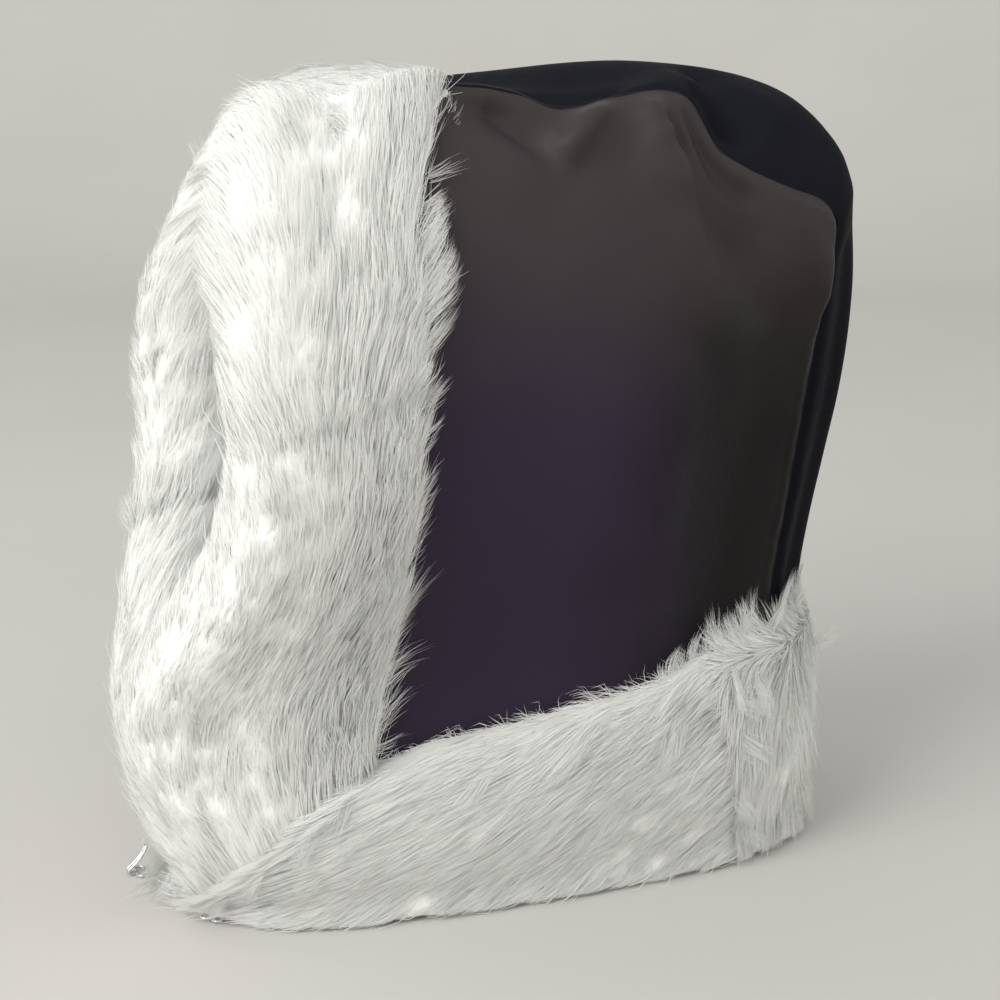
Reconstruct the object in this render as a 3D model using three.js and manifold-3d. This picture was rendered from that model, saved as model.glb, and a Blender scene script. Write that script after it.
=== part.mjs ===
// A fur hood: three cloth panels, a strip of long fur round the face, a band of it round the neck,
// and a wire hook and eye at the throat. It stands on its neck band.
import * as THREE from 'three';
import { mergeVertices } from 'three/addons/utils/BufferGeometryUtils.js';
import Module from 'manifold-3d';

const wasm = await Module();
wasm.setup();

// Driving dimensions, in millimetres. The face looks along -Y, the wearer's left is +X, up is +Z.
const CLOTH = 2;                  // thickness of the sewn cloth wall
const GAP = 0.3;                  // clearance between neighbouring pieces
const PANEL_DEPTH = 260;          // flat size of a side panel, front to back
const PANEL_HEIGHT = 330;         // and from the neck edge to the top seam
const PANEL_BULGE = 6;            // how far the middle of a side panel stands out
const CROWN_SHARPNESS = 2.3;      // power of the gusset's arch from seam to seam: 2 is round
const SEAM_FADE = 14;             // folds die out over this distance from a seam
const PILE = 16;                  // usual height of the fur over the cloth
const PILE_INSIDE = 10;           // height of the fur turned in behind the edge
const FACE_TURN_IN = 0.85;        // share of the face strip's width that is turned in behind the edge
const NECK_TURN_IN = 0.2;         // and of the neck band's
const NOSE = 13;                  // how far the fur stands out past the edge of the cloth
const CENTRE_OFFSET_Y = 7;        // moves the middle of the finished hood onto the origin

// Grid of the cloth walls
const COLUMNS = 16;               // along the neck edge and the top seam
const ROWS = 18;                  // from the neck edge to the top seam
const ACROSS = 9;                 // from seam to seam over the gusset

// Fur joins, as heights along the side panel (v) or places along its neck edge (u), each from 0 to 1
const NEAR_FACE_JOIN = 0.65;
const FAR_FACE_JOIN = 0.45;
const REAR_NECK_JOIN = 0.88;
const LAST_BEFORE_BROW = 0.94;    // last section of the face strip below the top seam
const LAST_BEFORE_NAPE = 0.96;    // last section of the neck band ahead of the back seam

// Seams and edges of the wearer's left side, each row a point that the line passes through
const TOP_SEAM = [
  { x: 50, y: -112, z: 331 }, { x: 52, y: -85, z: 345 }, { x: 53, y: -53, z: 351.5 },
  { x: 54, y: -28, z: 349 }, { x: 55, y: -5, z: 341 }, { x: 54, y: 18, z: 345 },
  { x: 53, y: 44, z: 348 }, { x: 54, y: 56, z: 344 }, { x: 58, y: 69, z: 323 },
  { x: 60, y: 83, z: 314 }, { x: 61, y: 105, z: 305 }, { x: 62, y: 121, z: 299 },
  { x: 62, y: 130, z: 290 },
];
const BACK_SEAM = [
  { x: 62, y: 130, z: 290 }, { x: 61, y: 126, z: 267 }, { x: 60, y: 121, z: 237 },
  { x: 59, y: 115, z: 200 }, { x: 58, y: 109, z: 162 }, { x: 57, y: 103, z: 125 },
  { x: 56, y: 101, z: 90 }, { x: 53, y: 104, z: 50 }, { x: 50, y: 108, z: 12 },
];
const FACE_EDGE = [
  { x: 50, y: -112, z: 331 }, { x: 66, y: -121, z: 309 }, { x: 77, y: -130, z: 280 },
  { x: 82, y: -136, z: 250 }, { x: 82, y: -138, z: 215 }, { x: 78, y: -140, z: 182 },
  { x: 68, y: -148, z: 152 }, { x: 52, y: -160, z: 126 }, { x: 38, y: -169, z: 102 },
  { x: 29, y: -171, z: 72 }, { x: 26, y: -163, z: 40 }, { x: 25, y: -150, z: 12 },
];
const NECK_EDGE = [
  { x: 25, y: -150, z: 12 }, { x: 38, y: -136, z: 12 }, { x: 50, y: -116, z: 12 },
  { x: 57, y: -84, z: 12 }, { x: 62, y: -42, z: 12 }, { x: 64, y: 0, z: 12 },
  { x: 64, y: 40, z: 12 }, { x: 61, y: 80, z: 12 }, { x: 50, y: 108, z: 12 },
];

// The gusset's middle line, over the top to the rear corner and then down the back
const CROWN_TOP = [
  { x: 0, y: -106, z: 338 }, { x: 0, y: -80, z: 347 }, { x: 0, y: -42, z: 351.5 },
  { x: 0, y: -7, z: 354.5 }, { x: 0, y: 22, z: 357 }, { x: 0, y: 45, z: 358 },
  { x: 0, y: 62, z: 357.5 }, { x: 0, y: 92, z: 354.5 }, { x: 0, y: 112, z: 350 },
  { x: 0, y: 131, z: 342 }, { x: 0, y: 143, z: 333 }, { x: 0, y: 152, z: 322 },
  { x: 0, y: 159, z: 307 },
];
const CROWN_BACK = [
  { x: 0, y: 159, z: 307 }, { x: 0, y: 165, z: 287 }, { x: 0, y: 168, z: 264 },
  { x: 0, y: 167, z: 235 }, { x: 0, y: 163, z: 208 }, { x: 0, y: 156, z: 180 },
  { x: 0, y: 149, z: 152 }, { x: 0, y: 143, z: 122 }, { x: 0, y: 138, z: 92 },
  { x: 0, y: 132, z: 52 }, { x: 0, y: 128, z: 12 },
];

// Folds of a side panel, from (u0, v0) to (u1, v1), with half width and height in millimetres
const PANEL_FOLDS = [
  { name: 'dent under the top seam', u0: 0.28, v0: 0.97, u1: 0.42, v1: 0.92, width: 13, height: -5 },
  { name: 'lip behind that dent', u0: 0.42, v0: 0.93, u1: 0.47, v1: 0.96, width: 11, height: 4 },
  { name: 'pinch at the top of the rear', u0: 0.58, v0: 0.96, u1: 0.61, v1: 0.91, width: 12, height: 4 },
  { name: 'dent along the rear crease', u0: 0.64, v0: 0.93, u1: 0.82, v1: 0.92, width: 15, height: -5 },
  { name: 'ridge from the rear corner', u0: 0.93, v0: 0.9, u1: 0.63, v1: 0.6, width: 34, height: 6 },
  { name: 'ridge down the side', u0: 0.63, v0: 0.6, u1: 0.67, v1: 0.25, width: 34, height: 5 },
  { name: 'hollow ahead of the back seam', u0: 0.88, v0: 0.7, u1: 0.86, v1: 0.35, width: 30, height: -4 },
  { name: 'soft hollow behind the face', u0: 0.42, v0: 0.6, u1: 0.4, v1: 0.3, width: 40, height: -3 },
];

// Folds of the gusset, from (k0, x0) to (k1, x1): k runs 0 to 1 over the top and 1 to 2 down the
// back, x from -1 at the right seam to 1 at the left
const GUSSET_FOLDS = [
  { name: 'sag over the brow', k0: 0.25, x0: 0.55, k1: 0.5, x1: 0.6, width: 20, height: -5 },
  { name: 'valley at the rear corner', k0: 0.66, x0: 0.45, k1: 0.74, x1: 0.85, width: 11, height: -6 },
  { name: 'puff of the rear corner', k0: 0.82, x0: 0.55, k1: 0.94, x1: 0.6, width: 24, height: 3 },
  { name: 'flute beside the back seam', k0: 1.1, x0: 0.7, k1: 1.6, x1: 0.72, width: 12, height: -4 },
];
const GUSSET_LENGTH = 310;        // one unit of k, in millimetres
const GUSSET_HALF = 70;           // one unit of x, in millimetres

// Where the fur ends on the cloth: how far back it reaches at each height v of the side panel
const FACE_FUR_EDGE = [
  { v: 0, u: 0.32 }, { v: 0.18, u: 0.32 }, { v: 0.25, u: 0.325 }, { v: 0.32, u: 0.31 },
  { v: 0.4, u: 0.285 }, { v: 0.5, u: 0.25 }, { v: 0.6, u: 0.245 }, { v: 0.7, u: 0.262 },
  { v: 0.77, u: 0.275 }, { v: 0.83, u: 0.235 }, { v: 0.9, u: 0.212 }, { v: 1, u: 0.235 },
];
// And how high the neck band reaches at each place u along the neck edge
const NECK_FUR_EDGE = [
  { u: 0, v: 0.16 }, { u: 0.32, v: 0.177 }, { u: 0.42, v: 0.205 }, { u: 0.55, v: 0.215 },
  { u: 0.7, v: 0.25 }, { u: 0.85, v: 0.305 }, { u: 1, v: 0.335 },
];

// How high the fur stands at each height v of the face strip, against the usual pile
const FACE_PILE = [{ v: 0, pile: 1 }, { v: 0.72, pile: 1 }, { v: 0.88, pile: 0.75 }, { v: 1, pile: 0.5 }];

// Section of a fur strip: w runs from 0 at the cloth's edge to 1 where the fur ends on the cloth
const PILE_PROFILE = [
  { w: 0.04, rise: 0.94 }, { w: 0.2, rise: 1.14 }, { w: 0.4, rise: 1.2 }, { w: 0.6, rise: 1.12 },
  { w: 0.78, rise: 0.96 }, { w: 0.92, rise: 0.66 }, { w: 1, rise: 0.22 },
];
const FACE_NOSE = [
  { ahead: 0.66, rise: 0.62 }, { ahead: 1, rise: 0.12 }, { ahead: 0.8, rise: -0.4 },
];
const FOOT_NOSE = [
  { ahead: 1, rise: 1.05 }, { ahead: 1, rise: 0.3 }, { ahead: 1, rise: -0.7 },
];
// The fur turned in, as shares of its width
const INNER_PROFILE = [
  { share: 0.05, rise: -1 }, { share: 0.5, rise: -1.2 }, { share: 0.95, rise: -0.7 },
];
const INNER_UNDER_PROFILE = [1, 0.5];
const UNDER_PROFILE = [0.22, 0.42, 0.62, 0.82, 1];
const UNDER = CLOTH / 2 + GAP + 0.6;   // half the slot that the cloth sits in
const EDGE_SLACK = 0.7;                // room in the slot past the edge of the cloth
const MITRE = { u: 0.32, v: 0.177 };   // where the face strip and the neck band part on the cloth
const JOIN_SHARE = 0.7;                // share of the clearance that each end gives up at a join
const EDGE_REACH = 0.12;               // stretch of the strip that gives the way ahead at its edge
const MITRE_LIMIT = 1.6;               // longest that a mitred corner may get, against a flat wall
const STEP = 0.02;                     // short step along a seam or edge, to find its direction

// Waves in the height of the fur, along the strip and across it
const FUR_WAVES = [
  { height: 0.08, along: 1, across: 9 },
  { height: 0.05, along: 2.3, across: -13 },
];
const FUR_WAVE_LENGTH = 9;             // millimetres for each radian along the strip
const FUR_WAVE_SKEW = 0.6;             // share of X in that length

// A lock of fur, as shares of its length (ahead, rise) and width (half)
const LOCK_RINGS = [
  { ahead: -0.2, rise: -0.1, half: 0.3 },
  { ahead: 0.4, rise: 0.08, half: 0.5 },
];
const LOCK_TIP_RISE = 0.1;
const LOCK_SIDES = 5;
const LOCK_FLATNESS = 0.55;            // thickness of a lock against its width
const GOLDEN = 0.618;                  // scatters the locks evenly over the strip

// Locks of fur on each strip. from and to count its sections, w0 and w1 run across it from the
// edge to the end of the fur, down and across give the lie of the hair, sizes are millimetres.
const ARCH_LOCKS = [
  { from: 4.4, to: 1, count: 4, w0: 0.15, w1: 0.7, down: 1, across: 0.1, length: 32, width: 17 },
  { from: 5, to: 0.8, count: 3, w0: 0.87, w1: 0.92, down: 0.6, across: 1, length: 17, width: 12 },
  { from: 7, to: 13, count: 4, w0: 0.15, w1: 0.8, down: 0.3, across: -1, length: 20, width: 10 },
  { from: 15.4, to: 22, count: 5, w0: 0.15, w1: 0.7, down: -1, across: 0.1, length: 32, width: 17 },
  { from: 15, to: 22, count: 3, w0: 0.87, w1: 0.92, down: -0.6, across: 1, length: 17, width: 12 },
];
const FACE_LOCKS_LEFT = [
  { from: 2.4, to: 11, count: 8, w0: 0.15, w1: 0.75, down: -1, across: 0.1, length: 34, width: 18 },
  { from: 1.6, to: 10.6, count: 3, w0: 0.87, w1: 0.92, down: -0.7, across: 1, length: 17, width: 12 },
];
const FACE_LOCKS_RIGHT = [
  { from: 2.2, to: 8.2, count: 6, w0: 0.15, w1: 0.75, down: -1, across: 0.1, length: 34, width: 18 },
  { from: 1.6, to: 7.6, count: 3, w0: 0.87, w1: 0.92, down: -0.7, across: 1, length: 17, width: 12 },
];
const NECK_LOCKS = [
  { from: 10.6, to: 2.4, count: 7, w0: 0.2, w1: 0.8, down: -1, across: -0.35, length: 34, width: 18 },
  { from: 8.6, to: 10.8, count: 2, w0: 0.86, w1: 0.9, down: 0.3, across: 1, length: 20, width: 12 },
];
const NAPE_LOCKS = [
  { from: 1.6, to: 9.6, count: 8, w0: 0.25, w1: 0.8, down: 0.2, across: -1, length: 30, width: 18 },
  { from: 1.4, to: 9.4, count: 4, w0: 0.86, w1: 0.9, down: 0.2, across: 1, length: 20, width: 12 },
];

// Tufts that reach forwards at the throat, each from a root in the neck band to its tip
const THROAT_TUFTS_RIGHT = [
  { x: -33, y: -152, z: 5, tipX: -39, tipY: -182, tipZ: 2, width: 16 },
  { x: -25, y: -154, z: 6, tipX: -25, tipY: -181, tipZ: 3, width: 16 },
];
const THROAT_TUFTS_LEFT = [
  { x: 34, y: -150, z: 6, tipX: 38, tipY: -172, tipZ: 2, width: 14 },
];

// Sewn-on wire hook and eye. a runs sideways from the middle, f forwards, z up.
const WIRE = 1.3;
const WIRE_SIDES = 3;
const WIRE_STEPS = 24;
const HOOK_PLACE = { x: -30, y: -173, z: 0.2 };
const HOOK_HALF = [
  { a: 0.7, f: -3.6, z: 12.6 }, { a: 1, f: -2.6, z: 10.6 }, { a: 1.1, f: -0.4, z: 7.4 },
  { a: 1.2, f: 2.4, z: 4.6 }, { a: 1.2, f: 4.6, z: 2.9 }, { a: 1.2, f: 4.9, z: 1.3 },
  { a: 1.3, f: 3, z: 0.8 }, { a: 1.7, f: 1, z: 0.8 }, { a: 3.4, f: 1.6, z: 0.8 },
  { a: 5.4, f: 0.4, z: 0.8 }, { a: 5.5, f: -2.2, z: 0.8 }, { a: 3.7, f: -3.4, z: 0.8 },
  { a: 2, f: -2.2, z: 0.8 },
];
const EYE_PLACE = { x: 31, y: -157, z: 0.4 };
const EYE_HALF = [
  { a: 0.6, f: 5.2, z: 1.6 }, { a: 1.9, f: 4.6, z: 1.6 }, { a: 2.5, f: 3, z: 1.4 },
  { a: 2, f: 0.8, z: 1 }, { a: 3.4, f: 1.4, z: 0.8 }, { a: 5.4, f: 0.4, z: 0.8 },
  { a: 5.5, f: -2, z: 0.8 }, { a: 3.7, f: -3.2, z: 0.8 }, { a: 2, f: -2.1, z: 0.8 },
];

const vector = ({ x, y, z }) => new THREE.Vector3(x, y, z);
const curveThrough = (rows) => new THREE.CatmullRomCurve3(rows.map(vector), false, 'centripetal');
const topSeam = curveThrough(TOP_SEAM);
const backSeam = curveThrough(BACK_SEAM);
const faceEdge = curveThrough(FACE_EDGE);
const neckEdge = curveThrough(NECK_EDGE);
const crownTop = curveThrough(CROWN_TOP);
const crownBack = curveThrough(CROWN_BACK);

const clamp = THREE.MathUtils.clamp;
const mix = THREE.MathUtils.lerp;
const mirror = (p) => new THREE.Vector3(-p.x, p.y, p.z);

// Value of a table at one place, in a straight line between its rows
function lookUp(table, key, value, at) {
  const last = table.length - 1;
  let row = 0;
  while (row < last - 1 && table[row + 1][key] < at) row += 1;
  const share = clamp((at - table[row][key]) / (table[row + 1][key] - table[row][key]), 0, 1);
  return mix(table[row][value], table[row + 1][value], share);
}

// Height of one fold at a point, all on the flat cloth in millimetres
function foldHeight(px, py, ax, ay, bx, by, width, height) {
  const length2 = (bx - ax) ** 2 + (by - ay) ** 2;
  const along = clamp(((px - ax) * (bx - ax) + (py - ay) * (by - ay)) / length2, 0, 1);
  const away = Math.hypot(px - mix(ax, bx, along), py - mix(ay, by, along));
  return height * Math.exp(-((away / width) ** 2));
}

// Side panel: a sheet stretched between its four edges, u from the face back, v from the neck up
function flatPanel(u, v) {
  const bottom = neckEdge.getPointAt(u);
  const top = topSeam.getPointAt(u);
  const front = faceEdge.getPointAt(1 - v);
  const back = backSeam.getPointAt(1 - v);
  const corners = [
    [FACE_EDGE.at(-1), (1 - u) * (1 - v)], [NECK_EDGE.at(-1), u * (1 - v)],
    [TOP_SEAM[0], (1 - u) * v], [TOP_SEAM.at(-1), u * v],
  ];
  const p = bottom.multiplyScalar(1 - v).addScaledVector(top, v);
  p.addScaledVector(front, 1 - u).addScaledVector(back, u);
  for (const [corner, share] of corners) p.addScaledVector(vector(corner), -share);
  p.x += PANEL_BULGE * Math.sin(Math.PI * u) * Math.sin(Math.PI * v);
  return p;
}

// Normal of a surface given by two parameters
function normalOf(surface, a, b, aEnds, bEnds) {
  const step = 0.01;
  const a0 = clamp(a - step, ...aEnds);
  const a1 = clamp(a + step, ...aEnds);
  const b0 = clamp(b - step, ...bEnds);
  const b1 = clamp(b + step, ...bEnds);
  const alongA = surface(a1, b).sub(surface(a0, b));
  const alongB = surface(a, b1).sub(surface(a, b0));
  return alongA.cross(alongB).normalize();
}

function panelPoint(u, v) {
  let height = 0;
  for (const f of PANEL_FOLDS) {
    height += foldHeight(
      u * PANEL_DEPTH, v * PANEL_HEIGHT, f.u0 * PANEL_DEPTH, f.v0 * PANEL_HEIGHT,
      f.u1 * PANEL_DEPTH, f.v1 * PANEL_HEIGHT, f.width, f.height,
    );
  }
  const toSeam = Math.min((1 - u) * PANEL_DEPTH, (1 - v) * PANEL_HEIGHT);
  height *= clamp(toSeam / SEAM_FADE, 0, 1);
  const p = flatPanel(u, v);
  return p.addScaledVector(normalOf(flatPanel, u, v, [0, 1], [0, 1]), height);
}

const panelNormal = (u, v) => normalOf(panelPoint, u, v, [0, 1], [0, 1]);

// Places across the gusset, closer together towards the seams
const acrossAt = (j) => (
  j === ACROSS - 1 ? 1 : Math.sin(mix(-Math.PI / 2, Math.PI / 2, j / (ACROSS - 1)))
);
const ACROSS_PLACES = Array.from({ length: ACROSS }, (_, j) => acrossAt(ACROSS - 1 - j));

// Gusset: k runs 0 to 1 along the top seam and 1 to 2 down the back seam, x from -1 to 1 across
const seamAt = (k) => (k <= 1 ? topSeam.getPointAt(k) : backSeam.getPointAt(k - 1));
const crownAt = (k) => (k <= 1 ? crownTop.getPointAt(k) : crownBack.getPointAt(k - 1));

function flatGusset(k, x) {
  const seam = seamAt(k);
  const crown = crownAt(k);
  const rise = 1 - Math.abs(x) ** CROWN_SHARPNESS;
  return new THREE.Vector3(x * seam.x, mix(seam.y, crown.y, rise), mix(seam.z, crown.z, rise));
}

function gussetPoint(k, x) {
  let height = 0;
  for (const f of GUSSET_FOLDS) {
    height += foldHeight(
      k * GUSSET_LENGTH, Math.abs(x) * GUSSET_HALF, f.k0 * GUSSET_LENGTH, f.x0 * GUSSET_HALF,
      f.k1 * GUSSET_LENGTH, f.x1 * GUSSET_HALF, f.width, f.height,
    );
  }
  height *= clamp(((1 - Math.abs(x)) * GUSSET_HALF) / SEAM_FADE, 0, 1);
  const p = flatGusset(k, x);
  return p.addScaledVector(normalOf(flatGusset, k, x, [0, 2], [-1, 1]), -height);
}

const gussetNormal = (k, x) => normalOf(gussetPoint, k, x, [0, 2], [-1, 1]).negate();

// A place on the whole cloth. On the side panels it holds u and v, on the gusset k and x, and
// side is 1 on the wearer's left and -1 on the right.
function clothAt(place) {
  if (Math.abs(place.x) === 1) {
    const { point, mitre } = seamFrame(place.k);
    return place.x > 0 ? { point, normal: mitre } : { point: mirror(point), normal: mirror(mitre) };
  }
  if (place.x !== undefined) {
    return { point: gussetPoint(place.k, place.x), normal: gussetNormal(place.k, place.x) };
  }
  const point = panelPoint(place.u, place.v);
  const normal = panelNormal(place.u, place.v);
  return place.side > 0 ? { point, normal } : { point: mirror(point), normal: mirror(normal) };
}

// The seam's own frame: the mitre between the two walls, and the way from it onto the side panel
function seamFrame(k) {
  const u = Math.min(k, 1);
  const v = Math.min(2 - k, 1);
  const onPanel = panelNormal(u, v);
  const onGusset = gussetNormal(k, 1);
  const mitre = onPanel.clone().add(onGusset).normalize();
  const stretch = Math.min(1 / mitre.dot(onPanel), MITRE_LIMIT);
  const ahead = seamAt(Math.min(k + STEP, 2)).sub(seamAt(Math.max(k - STEP, 0))).normalize();
  const onward = ahead.cross(mitre).normalize();
  return { point: seamAt(k), mitre: mitre.multiplyScalar(stretch), onward };
}

// Closed body from a grid of outer points and a grid of inner points with the same rows
function wallBody(outer, inner) {
  const rows = outer.length;
  const columns = outer[0].length;
  const positions = [...outer.flat(), ...inner.flat()].flatMap((p) => [p.x, p.y, p.z]);
  const out = (i, j) => i * columns + j;
  const back = (i, j) => rows * columns + i * columns + j;
  const faces = [];
  const quad = (a, b, c, d) => faces.push(a, b, c, a, c, d);
  for (let i = 0; i < rows - 1; i += 1) {
    for (let j = 0; j < columns - 1; j += 1) {
      quad(out(i, j), out(i + 1, j), out(i + 1, j + 1), out(i, j + 1));
      quad(back(i, j), back(i, j + 1), back(i + 1, j + 1), back(i + 1, j));
    }
    quad(back(i, 0), back(i + 1, 0), out(i + 1, 0), out(i, 0));
    quad(out(i, columns - 1), out(i + 1, columns - 1), back(i + 1, columns - 1), back(i, columns - 1));
  }
  for (let j = 0; j < columns - 1; j += 1) {
    quad(out(0, j), out(0, j + 1), back(0, j + 1), back(0, j));
    quad(back(rows - 1, j), back(rows - 1, j + 1), out(rows - 1, j + 1), out(rows - 1, j));
  }
  return solidFrom(positions, faces);
}

// Solid from points and triangles, turned to face outwards
function solidFrom(positions, faces) {
  const mesh = () => new wasm.Mesh({
    numProp: 3, vertProperties: new Float32Array(positions), triVerts: new Uint32Array(faces),
  });
  const solid = new wasm.Manifold(mesh());
  if (solid.volume() > 0) return solid;
  for (let i = 0; i < faces.length; i += 3) [faces[i + 1], faces[i + 2]] = [faces[i + 2], faces[i + 1]];
  return new wasm.Manifold(mesh());
}

// Cloth wall of a side panel. grow makes it thicker all round, and its seam edges stop short of the
// mitre by seamCut.
function panelWall(side, grow, seamCut) {
  const half = CLOTH / 2 + grow;
  const outer = [];
  const inner = [];
  for (let i = 0; i < COLUMNS; i += 1) {
    outer.push([]);
    inner.push([]);
    for (let j = 0; j < ROWS; j += 1) {
      const u = i / (COLUMNS - 1);
      const v = j / (ROWS - 1);
      const onSeam = i === COLUMNS - 1 || j === ROWS - 1;
      let point = panelPoint(u, v);
      let off = panelNormal(u, v);
      if (onSeam) {
        const frame = seamFrame(j === ROWS - 1 ? u : 2 - v);
        point = frame.point.addScaledVector(frame.onward, seamCut);
        off = frame.mitre;
      }
      if (i === 0) point.addScaledVector(point.clone().sub(panelPoint(STEP, v)).normalize(), grow);
      if (j === 0) point.z -= grow;
      const turn = side > 0 ? (p) => p : mirror;
      outer[i].push(turn(point.clone().addScaledVector(off, half)));
      inner[i].push(turn(point.clone().addScaledVector(off, -half)));
    }
  }
  return wallBody(outer, inner);
}

function gussetWall(grow, seamCut) {
  const half = CLOTH / 2 + grow;
  const outer = [];
  const inner = [];
  const stations = COLUMNS + ROWS - 1;
  for (let i = 0; i < stations; i += 1) {
    const k = i < COLUMNS ? i / (COLUMNS - 1) : 1 + (i - COLUMNS + 1) / (ROWS - 1);
    outer.push([]);
    inner.push([]);
    for (let j = 0; j < ACROSS; j += 1) {
      const x = acrossAt(j);
      let point = gussetPoint(k, x);
      let off = gussetNormal(k, x);
      if (j === 0 || j === ACROSS - 1) {
        const frame = seamFrame(k);
        const turn = j === 0 ? mirror : (p) => p;
        point = turn(frame.point.addScaledVector(frame.onward, -seamCut));
        off = turn(frame.mitre);
      }
      if (i === 0) point.addScaledVector(point.clone().sub(gussetPoint(STEP, x)).normalize(), grow);
      if (i === stations - 1) point.z -= grow;
      outer[i].push(point.clone().addScaledVector(off, half));
      inner[i].push(point.clone().addScaledVector(off, -half));
    }
  }
  return wallBody(outer, inner);
}

// Rows of places across the fur strips, each from the edge of the cloth to the end of the fur.
// foot says how squarely that stretch of the edge stands on the floor, from 0 to 1, and pile how
// high its fur is.
const faceRow = (side, vEdge, vEnd) => ({
  foot: 0,
  pile: PILE * lookUp(FACE_PILE, 'v', 'pile', vEdge),
  place: (w) => ({ side, u: w * lookUp(FACE_FUR_EDGE, 'v', 'u', vEnd), v: mix(vEdge, vEnd, w) }),
});
const browRow = (x) => ({
  foot: 0,
  pile: PILE * FACE_PILE.at(-1).pile,
  place: (w) => ({ k: w * lookUp(FACE_FUR_EDGE, 'v', 'u', 1), x }),
});
const neckRow = (side, uEdge, uEnd) => ({
  foot: 1,
  pile: PILE,
  place: (w) => ({ side, u: mix(uEdge, uEnd, w), v: w * lookUp(NECK_FUR_EDGE, 'u', 'v', uEnd) }),
});
const napeRow = (x) => ({
  foot: 1,
  pile: PILE,
  place: (w) => ({ k: 2 - w * lookUp(NECK_FUR_EDGE, 'u', 'v', 1), x }),
});

const steps = (from, to, count) => (
  Array.from({ length: count + 1 }, (_, i) => mix(from, to, i / count))
);

// The face strip and the neck band meet in a mitre at the throat, in one shared section
const atMitre = (row) => ({ ...row, foot: 0.5 });

function lowerFaceRows(side, join, count) {
  const rows = steps(0, 1, count).map((r) => faceRow(side, join * (1 - r), mix(join, MITRE.v, r)));
  return [...rows.slice(0, -1), atMitre(rows.at(-1))];
}

function neckRows(side, count) {
  const rows = steps(0, 1, count).map((r) => (
    neckRow(side, REAR_NECK_JOIN * r, mix(MITRE.u, REAR_NECK_JOIN, r))
  ));
  return [atMitre(rows[0]), ...rows.slice(1)];
}

function archRows() {
  const near = steps(NEAR_FACE_JOIN, LAST_BEFORE_BROW, 5).map((v) => faceRow(1, v, v));
  const brow = ACROSS_PLACES.map(browRow);
  const far = steps(LAST_BEFORE_BROW, FAR_FACE_JOIN, 8).map((v) => faceRow(-1, v, v));
  return [...near, ...brow, ...far];
}

function napeRows() {
  const near = [REAR_NECK_JOIN, LAST_BEFORE_NAPE].map((u) => neckRow(1, u, u));
  const nape = ACROSS_PLACES.map(napeRow);
  const far = [LAST_BEFORE_NAPE, REAR_NECK_JOIN].map((u) => neckRow(-1, u, u));
  return [...near, ...nape, ...far];
}

// Uneven height of the fur, the same in every build
function unevenness(edge, w) {
  const distance = (edge.x * FUR_WAVE_SKEW + edge.y + edge.z) / FUR_WAVE_LENGTH;
  return FUR_WAVES.reduce((sum, { height, along, across }) => (
    sum + height * Math.sin(distance * along + w * across)
  ), 1);
}

// One section of a fur strip, as a closed line of points: over the outside from the far end to the
// edge, round the nose to the fur turned in, and back along the slot for the cloth
function furSection({ place, foot, pile }) {
  const edge = clothAt(place(0));
  const ahead = edge.point.clone().sub(clothAt(place(EDGE_REACH)).point).normalize();
  const lifted = (w, height) => {
    const { point, normal } = clothAt(place(w));
    return point.addScaledVector(normal, height);
  };
  const outside = PILE_PROFILE.map(({ w, rise }) => (
    lifted(w, pile * rise * unevenness(edge.point, w))
  ));
  const nose = FACE_NOSE.map((face, index) => {
    const rise = mix(face.rise, FOOT_NOSE[index].rise, foot);
    const far = mix(face.ahead, FOOT_NOSE[index].ahead, foot);
    return edge.point.clone().addScaledVector(ahead, NOSE * far)
      .addScaledVector(edge.normal, (rise > 0 ? pile : PILE_INSIDE) * rise);
  });
  const turnIn = mix(FACE_TURN_IN, NECK_TURN_IN, foot);
  const inside = INNER_PROFILE.map(({ share, rise }) => lifted(share * turnIn, PILE_INSIDE * rise));
  const slotEnd = (height) => (
    lifted(0, height).addScaledVector(ahead, EDGE_SLACK)
  );
  const slot = [
    ...INNER_UNDER_PROFILE.map((share) => lifted(share * turnIn, -UNDER)),
    slotEnd(-UNDER), slotEnd(UNDER),
    ...UNDER_PROFILE.map((w) => lifted(w, UNDER)),
  ];
  const loop = [...outside.reverse(), ...nose, ...inside, ...slot];
  for (const p of loop) p.z = Math.max(p.z, 0);
  return loop;
}

const middleOf = (loop) => (
  loop.reduce((sum, p) => sum.add(p), new THREE.Vector3()).divideScalar(loop.length)
);

// Moves an end section towards the next one by half the clearance, and leaves its sole on the floor
function drawIn(loops, end, next) {
  const shift = middleOf(loops[next]).sub(middleOf(loops[end])).normalize();
  for (const p of loops[end]) {
    const z = p.z;
    p.addScaledVector(shift, GAP * JOIN_SHARE);
    if (z === 0) p.z = 0;
  }
}

// The points of an end section laid out flat, for its cap
function flatten(loop) {
  const middle = middleOf(loop);
  const spokes = loop.map((p) => p.clone().sub(middle));
  const normal = spokes.reduce((sum, spoke, i) => (
    sum.add(spoke.clone().cross(spokes[(i + 1) % spokes.length]))
  ), new THREE.Vector3()).normalize();
  const right = spokes[0].clone().projectOnPlane(normal).normalize();
  const up = normal.clone().cross(right);
  return spokes.map((spoke) => new THREE.Vector2(spoke.dot(right), spoke.dot(up)));
}

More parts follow.
